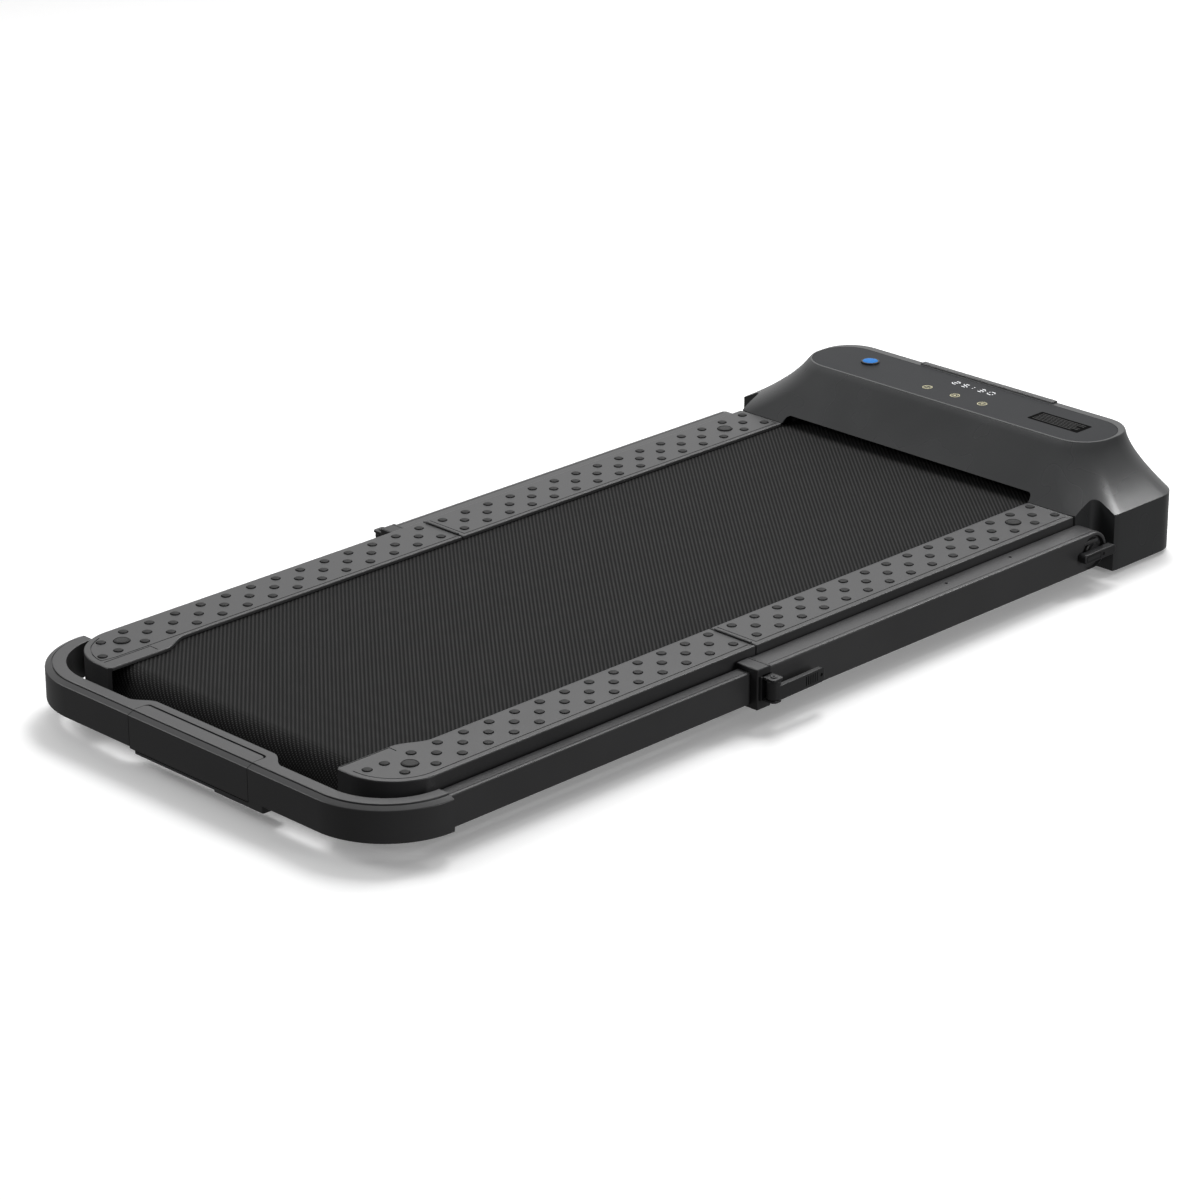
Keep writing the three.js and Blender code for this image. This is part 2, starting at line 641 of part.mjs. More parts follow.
function buildHood() {
  const shell = cut(hoodBody(0, HOOD_BOTTOM), hoodBody(HOOD_WALL, HOOD_BOTTOM - 5));
  const beltMouth = roundedRectangle(-RAIL_INNER_X, RAIL_INNER_X, 0, LIP_Z, 8);
  const frameMouth = block(-292, 292, HOOD_FRONT_Y - 5, HOOD_FRONT_Y + 12, 0, RAIL_TOP - 0.2);
  const pivotNotch = block(
    RAIL_OUTER_X - 12, RAIL_OUTER_X + 3,
    HOOD_FRONT_Y - 5, PIVOT_Y + 11,
    PIVOT_Z - 11, PIVOT_Z + 11,
  );
  const panelBed = plate(
    roundedRectangle(-PANEL_HALF + 4, PANEL_HALF - 4, PANEL_FRONT_Y + 4, Y_FRONT - 14, 46),
    HOOD_TOP - 2, HOOD_TOP + 5,
  );
  const opened = cut(
    shell,
    endExtrude(beltMouth, HOOD_FRONT_Y - 5, HOOD_FRONT_Y + 30),
    frameMouth,
    mirrored(pivotNotch),
    pivotNotch,
    panelBed,
    block(INLET[0], INLET[1], Y_FRONT - 10, Y_FRONT + 5, INLET[2], INLET[3]),
    block(SWITCH_X0 - 1, SWITCH_X1 + 1, Y_FRONT - 10, Y_FRONT + 5, SWITCH_Z0 - 1, SWITCH_Z1 + 1),
  );
  const ribZ0 = HOOD_TOP - 2;
  const ribZ1 = HOOD_TOP + 4;
  const backRib = endExtrude(
    polygon([[-122, ribZ0], [122, ribZ0], [116, ribZ1], [-116, ribZ1]]),
    Y_FRONT - 12, Y_FRONT,
  );
  add('hood', join(opened, backRib), MATERIAL.casing);

  const panel = plate(
    roundedRectangle(-PANEL_HALF + 4.3, PANEL_HALF - 4.3, PANEL_FRONT_Y + 4.3, Y_FRONT - 14.3, 45.7),
    HOOD_TOP - 1.7, HOOD_TOP,
  );
  add('display_panel', panel, MATERIAL.panel);
}

// The floor of the hood, with an upright tab and a stub axle for each transport wheel.
function buildHoodBase() {
  const halfX = 275;
  const wheelHalf = 8;
  const tab = block(halfX - 9, halfX, WHEEL_Y - 14, WHEEL_Y + 14, FLOOR_BOTTOM, 34);
  const stub = join(
    rodX(STUB_R, halfX - 5, WHEEL_X + 12, WHEEL_Y, WHEEL_R, 16),
    rodX(STUB_R + 3, WHEEL_X + wheelHalf + GAP, WHEEL_X + 12, WHEEL_Y, WHEEL_R, 16),
  );
  const floor = block(-halfX, halfX, HOOD_FRONT_Y + 8, Y_FRONT - 8.5, FLOOR_BOTTOM, FLOOR_TOP);
  add('hood_base', join(floor, tab, mirrored(tab), stub, mirrored(stub)), MATERIAL.casing);

  const wheel = turnedX([
    [WHEEL_X - wheelHalf, STUB_R + GAP], [WHEEL_X - wheelHalf, WHEEL_R - 2],
    [WHEEL_X - 6, WHEEL_R], [WHEEL_X + 6, WHEEL_R],
    [WHEEL_X + wheelHalf, WHEEL_R - 2], [WHEEL_X + wheelHalf, STUB_R + GAP],
  ], WHEEL_Y, WHEEL_R, 24);
  addPair('transport_wheel', wheel, MATERIAL.rubber);
}

function buildFeet() {
  const profile = [[0, 0], [15, 0], [17, 3], [14, PAN_Z - GAP], [0, PAN_Z - GAP]];
  const foot = (x, y) => new THREE.LatheGeometry(
    profile.map(([radius, z]) => new THREE.Vector2(radius, z)), 20,
  ).rotateX(Math.PI / 2).translate(x, y, 0);
  addPair('front_foot', foot(262, 48), MATERIAL.rubber);
  addPair('rear_foot', foot(250, -515), MATERIAL.rubber);
}

// ---------- handle ----------

// Seen from the side: straight tube with a round end at the pivot.
function buildOuterTubes() {
  const midZ = (ARM_Z0 + ARM_Z1) / 2;
  const endR = (ARM_Z1 - ARM_Z0) / 2;
  const side = new THREE.Shape();
  side.moveTo(ARM_REAR_Y, ARM_Z0);
  side.lineTo(ARM_END_Y - endR, ARM_Z0);
  side.absarc(ARM_END_Y - endR, midZ, endR, -Math.PI / 2, Math.PI / 2, false);
  side.lineTo(ARM_REAR_Y, ARM_Z1);
  side.closePath();
  const chamfer = endExtrude(
    polygon([[ARM_X1 - 3.5, ARM_Z1 + 1], [ARM_X1 + 1, ARM_Z1 - 2.5], [ARM_X1 + 1, ARM_Z1 + 1]]),
    ARM_REAR_Y - 5, ARM_END_Y - endR,
  );
  const bore = block(
    INNER_X0 - GAP, INNER_X1 + GAP,
    ARM_REAR_Y - 5, PIVOT_Y - 34,
    INNER_Z0 - GAP, INNER_Z1 + GAP,
  );
  const tube = cut(
    sideExtrude(side, ARM_X0, ARM_X1, 16),
    chamfer,
    bore,
    rodX(AXLE_R, ARM_X0 - 5, ARM_X1 - 8, PIVOT_Y, PIVOT_Z),
    rodX(21, ARM_X1 - 4, ARM_X1 + 5, PIVOT_Y, PIVOT_Z),
  );
  addPair('outer_tube', tube, MATERIAL.arm);
  addPair('pivot_bolt', rodX(AXLE_R - GAP, 262, ARM_X1 - 8 - GAP, PIVOT_Y, PIVOT_Z), MATERIAL.steel);
}

// T-bar clamp knob on the outside of each pivot.
function buildPivotKnobs() {
  const bar = new THREE.Shape();
  bar.absarc(PIVOT_Y + 25.5, PIVOT_Z, 6.5, -Math.PI / 2, Math.PI / 2, false);
  bar.absarc(PIVOT_Y - 25.5, PIVOT_Z, 6.5, Math.PI / 2, Math.PI * 1.5, false);
  bar.closePath();
  const knob = join(
    rodX(20, ARM_X1 - 4 + GAP, ARM_X1 + 4, PIVOT_Y, PIVOT_Z, 28),
    sideExtrude(bar, ARM_X1 + 2, ARM_X1 + 13),
  );
  addPair('pivot_knob', knob, MATERIAL.grip);
}

// Clamp collar at the rear end of each outer tube, with a fork for the cam lever.
function buildCollars() {
  const band = cut(
    block(ARM_X0, ARM_X1 + 0.6, COLLAR_Y0, ARM_REAR_Y - GAP, ARM_Z0 - 2, ARM_Z1 + 1.6),
    block(
      INNER_X0 - GAP, INNER_X1 + GAP, COLLAR_Y0 - 5, ARM_REAR_Y + 5,
      INNER_Z0 - GAP, INNER_Z1 + GAP,
    ),
  );
  const spine = block(ARM_X1 + 0.4, LEVER_X - 9.6, COLLAR_Y0 + 3, LEVER_Y + 10, 32, 66);
  const fork = (z0, z1) => plate(
    roundedRectangle(ARM_X1 + 0.4, LEVER_X + 9, LEVER_Y - 9, LEVER_Y + 9, 6), z0, z1, 4,
  );
  const pin = rodZ(3, 34, 64, LEVER_X, LEVER_Y, 12);
  addPair('clamp_collar', join(band, spine, fork(62.3, 66), fork(32, 35.7), pin), MATERIAL.grip);

  const arm = new THREE.Shape();
  arm.moveTo(LEVER_X + 1, LEVER_Y);
  arm.lineTo(LEVER_X + 9, LEVER_Y);
  arm.quadraticCurveTo(LEVER_X + 7, LEVER_Y + 50, LEVER_X + 6, LEVER_Y + 96);
  arm.absarc(LEVER_X + 2.5, LEVER_Y + 98, 3.5, 0, Math.PI, false);
  arm.quadraticCurveTo(LEVER_X + 2, LEVER_Y + 50, LEVER_X + 1, LEVER_Y + 12);
  arm.closePath();
  const lever = cut(
    join(rodZ(9, 36, 62, LEVER_X, LEVER_Y, 20), plate(arm, 37, 55, 4)),
    rodZ(3 + GAP, 30, 70, LEVER_X, LEVER_Y, 12),
  );
  addPair('collar_lever', lever, MATERIAL.grip);
}

function buildInnerTubes() {
  const section = rectangle(INNER_X0, INNER_X1, INNER_Z0, INNER_Z1);
  section.holes.push(rectangle(INNER_X0 + 2, INNER_X1 - 2, INNER_Z0 + 2, INNER_Z1 - 2));
  addPair('inner_tube', endExtrude(section, LOOP_CAP_Y + GAP, INNER_FRONT_Y), MATERIAL.arm);
}

// Stations along the loop's outer wall, from the right cap round to the left one. Each has a
// place, the direction inwards, and the loop's width there.
function loopStations() {
  const cornerX = LOOP_X - LOOP_R;
  const cornerY = Y_REAR + LOOP_R;
  const corner = (sign, from, to) => {
    const stations = [];
    const steps = 10;
    for (let i = 0; i <= steps; i += 1) {
      const angle = from + ((to - from) * i) / steps;
      const out = [Math.cos(angle), Math.sin(angle)];
      stations.push({
        at: [sign * cornerX + LOOP_R * out[0], cornerY + LOOP_R * out[1]],
        inward: [-out[0], -out[1]],
        width: LOOP_WIDTH,
      });
    }
    return stations;
  };
  const rear = (x) => {
    const blend = THREE.MathUtils.smoothstep(Math.abs(x), FLAP_HALF, FLAP_HALF + 30);
    return {
      at: [x, Y_REAR],
      inward: [0, 1],
      width: LOOP_BULGE + (LOOP_WIDTH - LOOP_BULGE) * blend,
    };
  };
  const middle = [150, 138, 130, 123, 116, 108, -108, -116, -123, -130, -138, -150].map(rear);
  return [...corner(1, 0, -Math.PI / 2), ...middle, ...corner(-1, -Math.PI / 2, -Math.PI)];
}

// The loop's section: flat bottom, inner wall, flat top, chamfer and outer wall, as [depth, z].
const loopProfile = (width) => [
  [0, LOOP_Z0], [width, LOOP_Z0], [width, LOOP_Z1],
  [LOOP_CHAMFER, LOOP_Z1 - 0.8], [0, LOOP_WALL_TOP],
];

function sweptLoop() {
  const rings = loopStations().map(({ at, inward, width }) => loopProfile(width).map(
    ([depth, z]) => new THREE.Vector3(at[0] + inward[0] * depth, at[1] + inward[1] * depth, z),
  ));
  return loft(rings.reverse(), loopProfile(LOOP_WIDTH).map(([depth, z]) => new THREE.Vector2(depth, z)));
}

// The loop's middle holds a phone or tablet: a tray closed at the back by a hinged flap.
function buildLoop() {
  const pocket = block(
    -FLAP_HALF - GAP, FLAP_HALF + GAP, Y_REAR - 5, SLOT_Y + GAP, HOLDER_Z0 + 6, LOOP_Z1 + 5,
  );
  const tray = block(HOLDER_X0, HOLDER_X1, Y_REAR, -612, HOLDER_Z0, LOOP_Z0 + 2);
  add('handle_loop', cut(join(sweptLoop(), tray), pocket), MATERIAL.arm);

  // The flap turns about the round lower edge of its wall.
  const half = FLAP_WALL / 2;
  const profile = new THREE.Shape();
  profile.absarc(Y_REAR + half, HOLDER_Z0 + 6 + GAP + half, half, Math.PI, Math.PI * 2, false);
  profile.lineTo(Y_REAR + FLAP_WALL, LOOP_WALL_TOP - 3);
  profile.lineTo(Y_REAR + 12, LOOP_Z1 - FLAP_WALL);
  profile.lineTo(SLOT_Y, LOOP_Z1 - FLAP_WALL);
  profile.lineTo(SLOT_Y, LOOP_Z1);
  profile.lineTo(Y_REAR + LOOP_CHAMFER, LOOP_Z1 - 0.8);
  profile.lineTo(Y_REAR, LOOP_WALL_TOP);
  profile.closePath();
  add('device_flap', sideExtrude(profile, -FLAP_HALF, FLAP_HALF), MATERIAL.arm);
}

// ---------- assembly ----------

buildFrontRails();
buildRearRails();
buildBeams();
buildDeck();
buildFoldHinge();
buildBelt();
buildRollers();
buildDrive();
buildElectrics();
buildHood();
buildHoodBase();
buildFeet();
buildOuterTubes();
buildPivotKnobs();
buildCollars();
buildInnerTubes();
buildLoop();

treadmill.position.y = -(Y_REAR + Y_FRONT) / 2;

export default treadmill;
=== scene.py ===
"""A folding walking treadmill: the looks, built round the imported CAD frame.

Shapes are drawn in millimetres, with y counted from the fold seam and z from the floor. add_piece()
turns them into metres in the row frame. Paired pieces are drawn on the right and mirrored.
"""

import json
import math

import bmesh
import bpy
from mathutils import Matrix, Vector


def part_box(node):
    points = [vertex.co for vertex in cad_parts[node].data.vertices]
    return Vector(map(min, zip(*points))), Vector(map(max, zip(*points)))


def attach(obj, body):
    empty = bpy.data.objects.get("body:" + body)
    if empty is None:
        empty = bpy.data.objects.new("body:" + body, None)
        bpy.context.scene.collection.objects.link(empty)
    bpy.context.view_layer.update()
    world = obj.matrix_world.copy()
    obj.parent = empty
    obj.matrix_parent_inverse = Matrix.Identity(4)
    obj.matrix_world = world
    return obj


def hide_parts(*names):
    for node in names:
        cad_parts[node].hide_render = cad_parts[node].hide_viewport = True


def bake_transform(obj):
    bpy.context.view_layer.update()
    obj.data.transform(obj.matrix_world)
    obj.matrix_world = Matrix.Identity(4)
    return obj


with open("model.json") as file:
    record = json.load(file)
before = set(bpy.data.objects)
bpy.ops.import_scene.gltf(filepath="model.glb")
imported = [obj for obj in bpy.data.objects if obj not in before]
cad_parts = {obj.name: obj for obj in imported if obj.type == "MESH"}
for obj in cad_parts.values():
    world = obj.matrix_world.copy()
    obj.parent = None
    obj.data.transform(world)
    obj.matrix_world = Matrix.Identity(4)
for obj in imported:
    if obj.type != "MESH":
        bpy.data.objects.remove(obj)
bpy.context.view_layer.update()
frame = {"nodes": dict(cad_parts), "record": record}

MM = 0.001
SEAM = (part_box("front_rail_right")[0].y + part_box("rear_rail_right")[1].y) / 2


def span(node):
    """A CAD node's box in millimetres, y from the seam: x0, x1, y0, y1, z0, z1."""
    lo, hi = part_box(node)
    y0, y1 = (lo.y - SEAM) / MM, (hi.y - SEAM) / MM
    return lo.x / MM, hi.x / MM, y0, y1, lo.z / MM, hi.z / MM


# ---------- driving dimensions, from the frame ----------

RAIL_X0, RAIL_X1, _, RAIL_END, RAIL_BOTTOM, RAIL_TOP = span("front_rail_right")
BULGE_X, _, REAR_END, _, _, _ = span("rear_rail_right")
ARM_X0, ARM_X1, ARM_REAR, ARM_FRONT, ARM_Z0, ARM_Z1 = span("outer_tube_right")
TUBE_X0, TUBE_X1, TUBE_REAR, TUBE_FRONT, TUBE_Z0, TUBE_Z1 = span("inner_tube_right")
_, LOOP_X, LOOP_Y, _, TRAY_Z, LOOP_Z1 = span("handle_loop")
_, HOOD_X, HOOD_Y0, HOOD_Y1, HOOD_Z0, _ = span("hood")
_, PANEL_X, PANEL_Y0, PANEL_Y1, _, PANEL_Z = span("display_panel")
_, FLAP_X, _, SLOT_Y, FLAP_Z0, _ = span("device_flap")
_, BELT_X, _, _, _, BELT_TOP = span("belt_front")

WALL = 4  # rail plate and skirt
REAR_CORNER_R = 71
SEAM_EDGE = 1.3  # the rails stop this far from the fold seam
GROOVE_INSET = 8.5  # from a rail's edge to its rim groove
SEAM_GROOVE_Y = 8.8
RIM_LEFT = 5.9  # the left rail's rim lies beside the belt
LEAF_DROP = 9  # from the rails' top to the hinge leaves

STUD_R = 5.5
STUD_RISE = 1.1
PLUG_R = 10
STUD_PITCH_FRONT = 41.2
STUD_PITCH_REAR = 41.3
STUD_INNER_X = 235.2
STUD_OUTER_X = 277.2
STUD_MID_X = 256
STUD_SHIFT = (6.6, -3.4)  # the left rails' studs stand nearer the edge, and further back

BELT_THICK = 2
BELT_RUN_GAP = 0.3  # clearance over the idlers
RIB_PITCH = 4.9  # of the belt's ribs, and of the knobs along them
KNOB_PITCH = 3.1
RIB_LEAN = 49  # degrees between the ribs and the length of the belt

PANEL_RIM = 4.3  # the panel lies this far inside the hood's top edge
TOP_FRONT = PANEL_Y0 - PANEL_RIM
TOP_HALF = PANEL_X + PANEL_RIM
TOP_R = 50
HOOD_SIDE_Y = 657  # the recess for the arm's round end stops here
HOOD_NOSE_R = 55
HOOD_CORNER_R = 40
HOOD_WALL = 3.5
HOOD_LIP = 10  # from the rails' top to the hood's lip
RIB_HALF = 119  # raised strip along the hood's back edge
RIB_DEPTH = 10
RIB_RISE = 2.4

KNOB_Y = 609
KNOB_Z = 47
KNOB_RECESS_R = 23.5
KNOB_HALF = 32
KNOB_RISE = 13
BOLT_R = 8
ARM_SCREW_X = 315
ARM_SCREW_Y = (466, 339)
LEVER_X = 352
LEVER_Y = -24
LEVER_LENGTH = 83
LEVER_LOW = 37
LEVER_HIGH = 56
LEVER_PIN_R = 3
COLLAR_REAR = 6  # the collar starts this far inside its CAD box
HINGE_LOW = 34.2
HINGE_HIGH = 65.8

LOOP_R = 110
LOOP_WIDTH = 26.5
LOOP_BULGE = 44
LOOP_Z0 = 29
LOOP_WALL_TOP = 69.8
LOOP_WALL = 5
LOOP_BLEND = 32
TRAY_X0 = -100
TRAY_X1 = 134
TRAY_STEP_X = 45
TRAY_FRONT = -612.5


# ---------- mesh helpers ----------


def arc(cx, cy, r, start, end, steps):
    """Points on an arc, in degrees, both ends included."""
    angles = [math.radians(start + (end - start) * i / steps) for i in range(steps + 1)]
    return [(cx + r * math.cos(a), cy + r * math.sin(a)) for a in angles]


def box_outline(x0, x1, y0, y1):
    return [(x0, y0), (x1, y0), (x1, y1), (x0, y1)]


def round_outline(x0, x1, y0, y1, r, steps=6):
    return (
        arc(x1 - r, y0 + r, r, -90, 0, steps)
        + arc(x1 - r, y1 - r, r, 0, 90, steps)
        + arc(x0 + r, y1 - r, r, 90, 180, steps)
        + arc(x0 + r, y0 + r, r, 180, 270, steps)
    )


def slab(outline, low, high, plane="xy"):
    """A prism. plane xy rises along z, yz runs along x, and xz runs along y."""
    bm = bmesh.new()
    place = {
        "xy": lambda a, b, c: (a, b, c),
        "yz": lambda a, b, c: (c, a, b),
        "xz": lambda a, b, c: (a, c, b),
    }[plane]
    bottom = [bm.verts.new(place(a, b, low)) for a, b in outline]
    top = [bm.verts.new(place(a, b, high)) for a, b in outline]
    n = len(outline)
    bm.faces.new(bottom)
    bm.faces.new(top)
    for i in range(n):
        bm.faces.new((bottom[i], bottom[(i + 1) % n], top[(i + 1) % n], top[i]))
    bmesh.ops.recalc_face_normals(bm, faces=bm.faces)
    return bm


def block(x0, x1, y0, y1, z0, z1):
    return slab(box_outline(x0, x1, y0, y1), z0, z1)


def skin(rings, closed=False):
    """Rings with equal numbers of points joined in order, with end caps unless closed."""
    bm = bmesh.new()
    rows = [[bm.verts.new(p) for p in ring] for ring in rings]
    n = len(rows[0])
    pairs = list(zip(rows, rows[1:])) + ([(rows[-1], rows[0])] if closed else [])
    for a, b in pairs:
        for i in range(n):
            bm.faces.new((a[i], a[(i + 1) % n], b[(i + 1) % n], b[i]))
    if not closed:
        bm.faces.new(rows[0])
        bm.faces.new(rows[-1])
    bmesh.ops.recalc_face_normals(bm, faces=bm.faces)
    return bm


def turned(profile, centre, axis="z", sides=32):
    """A turned piece. The profile is (radius, height) along the axis, from end to end."""
    place = {
        "x": lambda a, b, h: (centre[0] + h, centre[1] + a, centre[2] + b),
        "z": lambda a, b, h: (centre[0] + a, centre[1] + b, centre[2] + h),
    }[axis]
    rings = []
    for radius, height in profile:
        turn = [2 * math.pi * i / sides for i in range(sides)]
        rings.append([place(radius * math.cos(t), radius * math.sin(t), height) for t in turn])
    return skin(rings)


def ring(x, y, radius, width, base, thick=0.12):
    """A flat ring lying on a surface."""
    section = [(radius, 0), (radius, thick), (radius - width, thick), (radius - width, 0)]
    turn = [math.tau * i / 32 for i in range(32)]
    rings = [[(x + r * math.cos(t), y + r * math.sin(t), base + z) for t in turn] for r, z in section]
    return skin(rings, closed=True)


def merge(*parts):
    """Several meshes as one, without cutting them."""
    whole = bmesh.new()
    for part in parts:
        mesh = bpy.data.meshes.new("part")
        part.to_mesh(mesh)
        part.free()
        whole.from_mesh(mesh)
        bpy.data.meshes.remove(mesh)
    return whole


def carve(base, tools, operation="DIFFERENCE"):
    """The base with each tool cut away, joined on, or kept in common."""
    mesh = bpy.data.meshes.new("base")
    base.to_mesh(mesh)
    base.free()
    body = bpy.data.objects.new("carve_base", mesh)
    bpy.context.collection.objects.link(body)
    helpers = []
    for tool in tools:
        tool_mesh = bpy.data.meshes.new("tool")
        tool.to_mesh(tool_mesh)
        tool.free()
        helper = bpy.data.objects.new("carve_tool", tool_mesh)
        bpy.context.collection.objects.link(helper)
        helpers.append(helper)
        modifier = body.modifiers.new("carve", "BOOLEAN")
        modifier.operation = operation
        modifier.object = helper
        modifier.solver = "EXACT"
    evaluated = body.evaluated_get(bpy.context.evaluated_depsgraph_get())
    made = bpy.data.meshes.new_from_object(evaluated)
    result = bmesh.new()
    result.from_mesh(made)
    bmesh.ops.remove_doubles(result, verts=result.verts, dist=0.005)
    for helper in helpers + [body]:
        spare = helper.data
        bpy.data.objects.remove(helper)
        bpy.data.meshes.remove(spare)
    bpy.data.meshes.remove(made)
    return result


def soften(bm, width, segments=3, chosen=None, limit=35):
    """Rounds the sharp edges, or the chosen ones among them."""
    sharp = [
        e
        for e in bm.edges
        if len(e.link_faces) == 2
        and e.calc_face_angle(0) > math.radians(limit)
        and (chosen is None or chosen(e))
    ]
    bmesh.ops.bevel(
        bm, geom=sharp, offset=width, segments=segments, profile=0.5, affect="EDGES", clamp_overlap=True
    )
    return bm


def at_height(z, slack=0.01):
    """Chooses edges that lie at one height."""
    return lambda e: all(abs(v.co.z - z) < slack for v in e.verts)


def groove(path, width, top, depth=1.1):
    """A cutter that follows a flat open path."""
    half = width / 2
    path = [p for i, p in enumerate(path) if i == 0 or math.dist(p, path[i - 1]) > 0.01]
    left, right = [], []
    for i, (x, y) in enumerate(path):
        before = path[max(i - 1, 0)]
        after = path[min(i + 1, len(path) - 1)]
        into = Vector((x - before[0], y - before[1]))
        out = Vector((after[0] - x, after[1] - y))
        into = into.normalized() if into.length > 0 else out.normalized()
        out = out.normalized() if out.length > 0 else into
        along = (into + out).normalized()
        reach = half / max(along.dot(into), 0.3)
        side = Vector((-along.y, along.x)) * reach
        left.append((x + side.x, y + side.y))
        right.append((x - side.x, y - side.y))
    return slab(left + right[::-1], top - depth, top + 3)


def mirrored(bm):
    """The same mesh on the other side of the machine."""
    twin = bm.copy()
    bmesh.ops.scale(twin, vec=(-1, 1, 1), verts=twin.verts)
    bmesh.ops.reverse_faces(twin, faces=twin.faces)
    return twin


def add_piece(name, bm, body, slot, material, replaces=(), sharp=32, weighted=True):
    """Turns a mesh drawn in millimetres into a finished piece that rides on a body."""
    bmesh.ops.scale(bm, vec=(MM, MM, MM), verts=bm.verts)
    bmesh.ops.translate(bm, vec=(0, SEAM, 0), verts=bm.verts)
    for face in bm.faces:
        face.smooth = True
    for edge in bm.edges:
        if len(edge.link_faces) == 2:
            edge.smooth = edge.calc_face_angle(0) < math.radians(sharp)
    mesh = bpy.data.meshes.new(name)
    bm.to_mesh(mesh)
    bm.free()
    piece = bpy.data.objects.new(name, mesh)
    bpy.context.collection.objects.link(piece)
    mesh.materials.append(material)
    if weighted:
        normals = piece.modifiers.new("normals", "WEIGHTED_NORMAL")
        normals.keep_sharp = True
        normals.weight = 90
    if body:
        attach(piece, body)
    if replaces:
        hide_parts(*replaces)
    return piece


def add_pair(name, bm, bodies, slot, material, node=None, **options):
    """A right-hand piece and its mirrored twin. node is the pair of CAD nodes that they replace."""
    twin = mirrored(bm)
    for side, mesh, body in (("right", bm, bodies[0]), ("left", twin, bodies[1])):
        nodes = (f"{node}_{side}",) if node else ()
        add_piece(f"{name}_{side}", mesh, body, slot, material, replaces=nodes, **options)


# ---------- materials ----------


class Nodes:
    """A short way to write a node tree."""

    def __init__(self, name):
        self.material = bpy.data.materials.new(name)
        self.material.use_nodes = True
        self.tree = self.material.node_tree
        self.shader = self.tree.nodes["Principled BSDF"]

    def add(self, kind, links=None, **settings):
        node = self.tree.nodes.new(kind)
        for key, value in settings.items():
            if hasattr(node, key):
                setattr(node, key, value)
            else:
                node.inputs[key.replace("_", " ")].default_value = value
        for socket, source in (links or {}).items():
            self.link(source, node.inputs[socket])
        return node

    def link(self, source, target):
        self.tree.links.new(source, target)

    def math(self, operation, a, b=None):
        node = self.tree.nodes.new("ShaderNodeMath")
        node.operation = operation
        for i, value in enumerate((a, b)):
            if value is None:
                continue
            if isinstance(value, (int, float)):
                node.inputs[i].default_value = value
            else:
                self.link(value, node.inputs[i])
        return node.outputs[0]

    def ramp(self, source, stops):
        node = self.tree.nodes.new("ShaderNodeValToRGB")
        self.link(source, node.inputs[0])
        points = node.color_ramp.elements
        while len(points) < len(stops):
            points.new(0.5)
        for point, (place, colour) in zip(points, stops):
            point.position = place
            point.color = (*colour, 1)
        return node.outputs[0]

    def noise(self, scale, detail=3.0, stretch=(1, 1, 1), source="Object"):
        where = self.tree.nodes.new("ShaderNodeTexCoord")
        mapping = self.tree.nodes.new("ShaderNodeMapping")
        mapping.inputs["Scale"].default_value = stretch
        self.link(where.outputs[source], mapping.inputs[0])
        node = self.tree.nodes.new("ShaderNodeTexNoise")
        node.inputs["Scale"].default_value = scale
        node.inputs["Detail"].default_value = detail
        self.link(mapping.outputs[0], node.inputs["Vector"])
        return node.outputs[0]

    def bump(self, height, distance, strength=1.0):
        node = self.tree.nodes.new("ShaderNodeBump")
        node.inputs["Distance"].default_value = distance
        node.inputs["Strength"].default_value = strength
        self.link(height, node.inputs["Height"])
        self.link(node.outputs[0], self.shader.inputs["Normal"])


def moulded(name, colour, rough=0.5, grain=0.0002, grain_scale=900, specular=0.5, spread=0.12):
    """Moulded or coated surface: fine grain, slow colour drift and uneven gloss."""
    tree = Nodes(name)
    fine = tree.noise(grain_scale, 4)
    slow = tree.noise(9, 2)
    dark = tuple(c * (1 - spread) for c in colour)
    light = tuple(c * (1 + spread) for c in colour)
    mixed = tree.math("ADD", tree.math("MULTIPLY", fine, 0.55), tree.math("MULTIPLY", slow, 0.45))
    tree.link(tree.ramp(mixed, [(0.32, dark), (0.68, light)]), tree.shader.inputs["Base Color"])
    gloss = tree.math("ADD", tree.math("MULTIPLY", slow, 0.16), rough - 0.08)
    tree.link(gloss, tree.shader.inputs["Roughness"])
    tree.shader.inputs["Specular IOR Level"].default_value = specular
    tree.shader.inputs["Metallic"].default_value = 0.0
    tree.bump(fine, grain)
    return tree.material


def wave_input(tree, parts, u, v, pitch):
    """The phase of a wave that runs along (u, v) over the belt."""
    step = math.tau / pitch
    first = tree.math("MULTIPLY", parts.outputs[0], u * step)
    return tree.math("ADD", first, tree.math("MULTIPLY", parts.outputs[1], v * step))


def belt_weave():
    """Rubber belt with a fine woven grip: slanted ribs, notched into small knobs."""
    tree = Nodes("belt_weave")
    where = tree.add("ShaderNodeUVMap")
    parts = tree.add("ShaderNodeSeparateXYZ", {"Vector": where.outputs[0]})
    lean = math.radians(RIB_LEAN)
    across = wave_input(tree, parts, math.cos(lean), -math.sin(lean), RIB_PITCH)
    along = wave_input(tree, parts, math.sin(lean), math.cos(lean), KNOB_PITCH)
    ridges = tree.math("ADD", tree.math("MULTIPLY", tree.math("SINE", across), 0.5), 0.5)
    notches = tree.math("ADD", tree.math("MULTIPLY", tree.math("SINE", along), 0.4), 0.6)
    height = tree.math("MULTIPLY", ridges, notches)
    worn = tree.noise(30, 3)
    # The base colour darkens in the hollows between the ribs and knobs: painted shade, mixed with noise
    # for wear.
    shade = tree.math("ADD", tree.math("MULTIPLY", height, 0.85), tree.math("MULTIPLY", worn, 0.15))
    greys = [(0.12, 0.002), (0.45, 0.009), (0.75, 0.041)]
    colours = [(place, (grey, grey, grey)) for place, grey in greys]
    tree.link(tree.ramp(shade, colours), tree.shader.inputs["Base Color"])
    gloss = tree.math("SUBTRACT", 0.95, tree.math("MULTIPLY", height, 0.25))
    tree.link(gloss, tree.shader.inputs["Roughness"])
    tree.shader.inputs["Specular IOR Level"].default_value = 0.3
    tree.bump(height, 0.0009)
    return tree.material


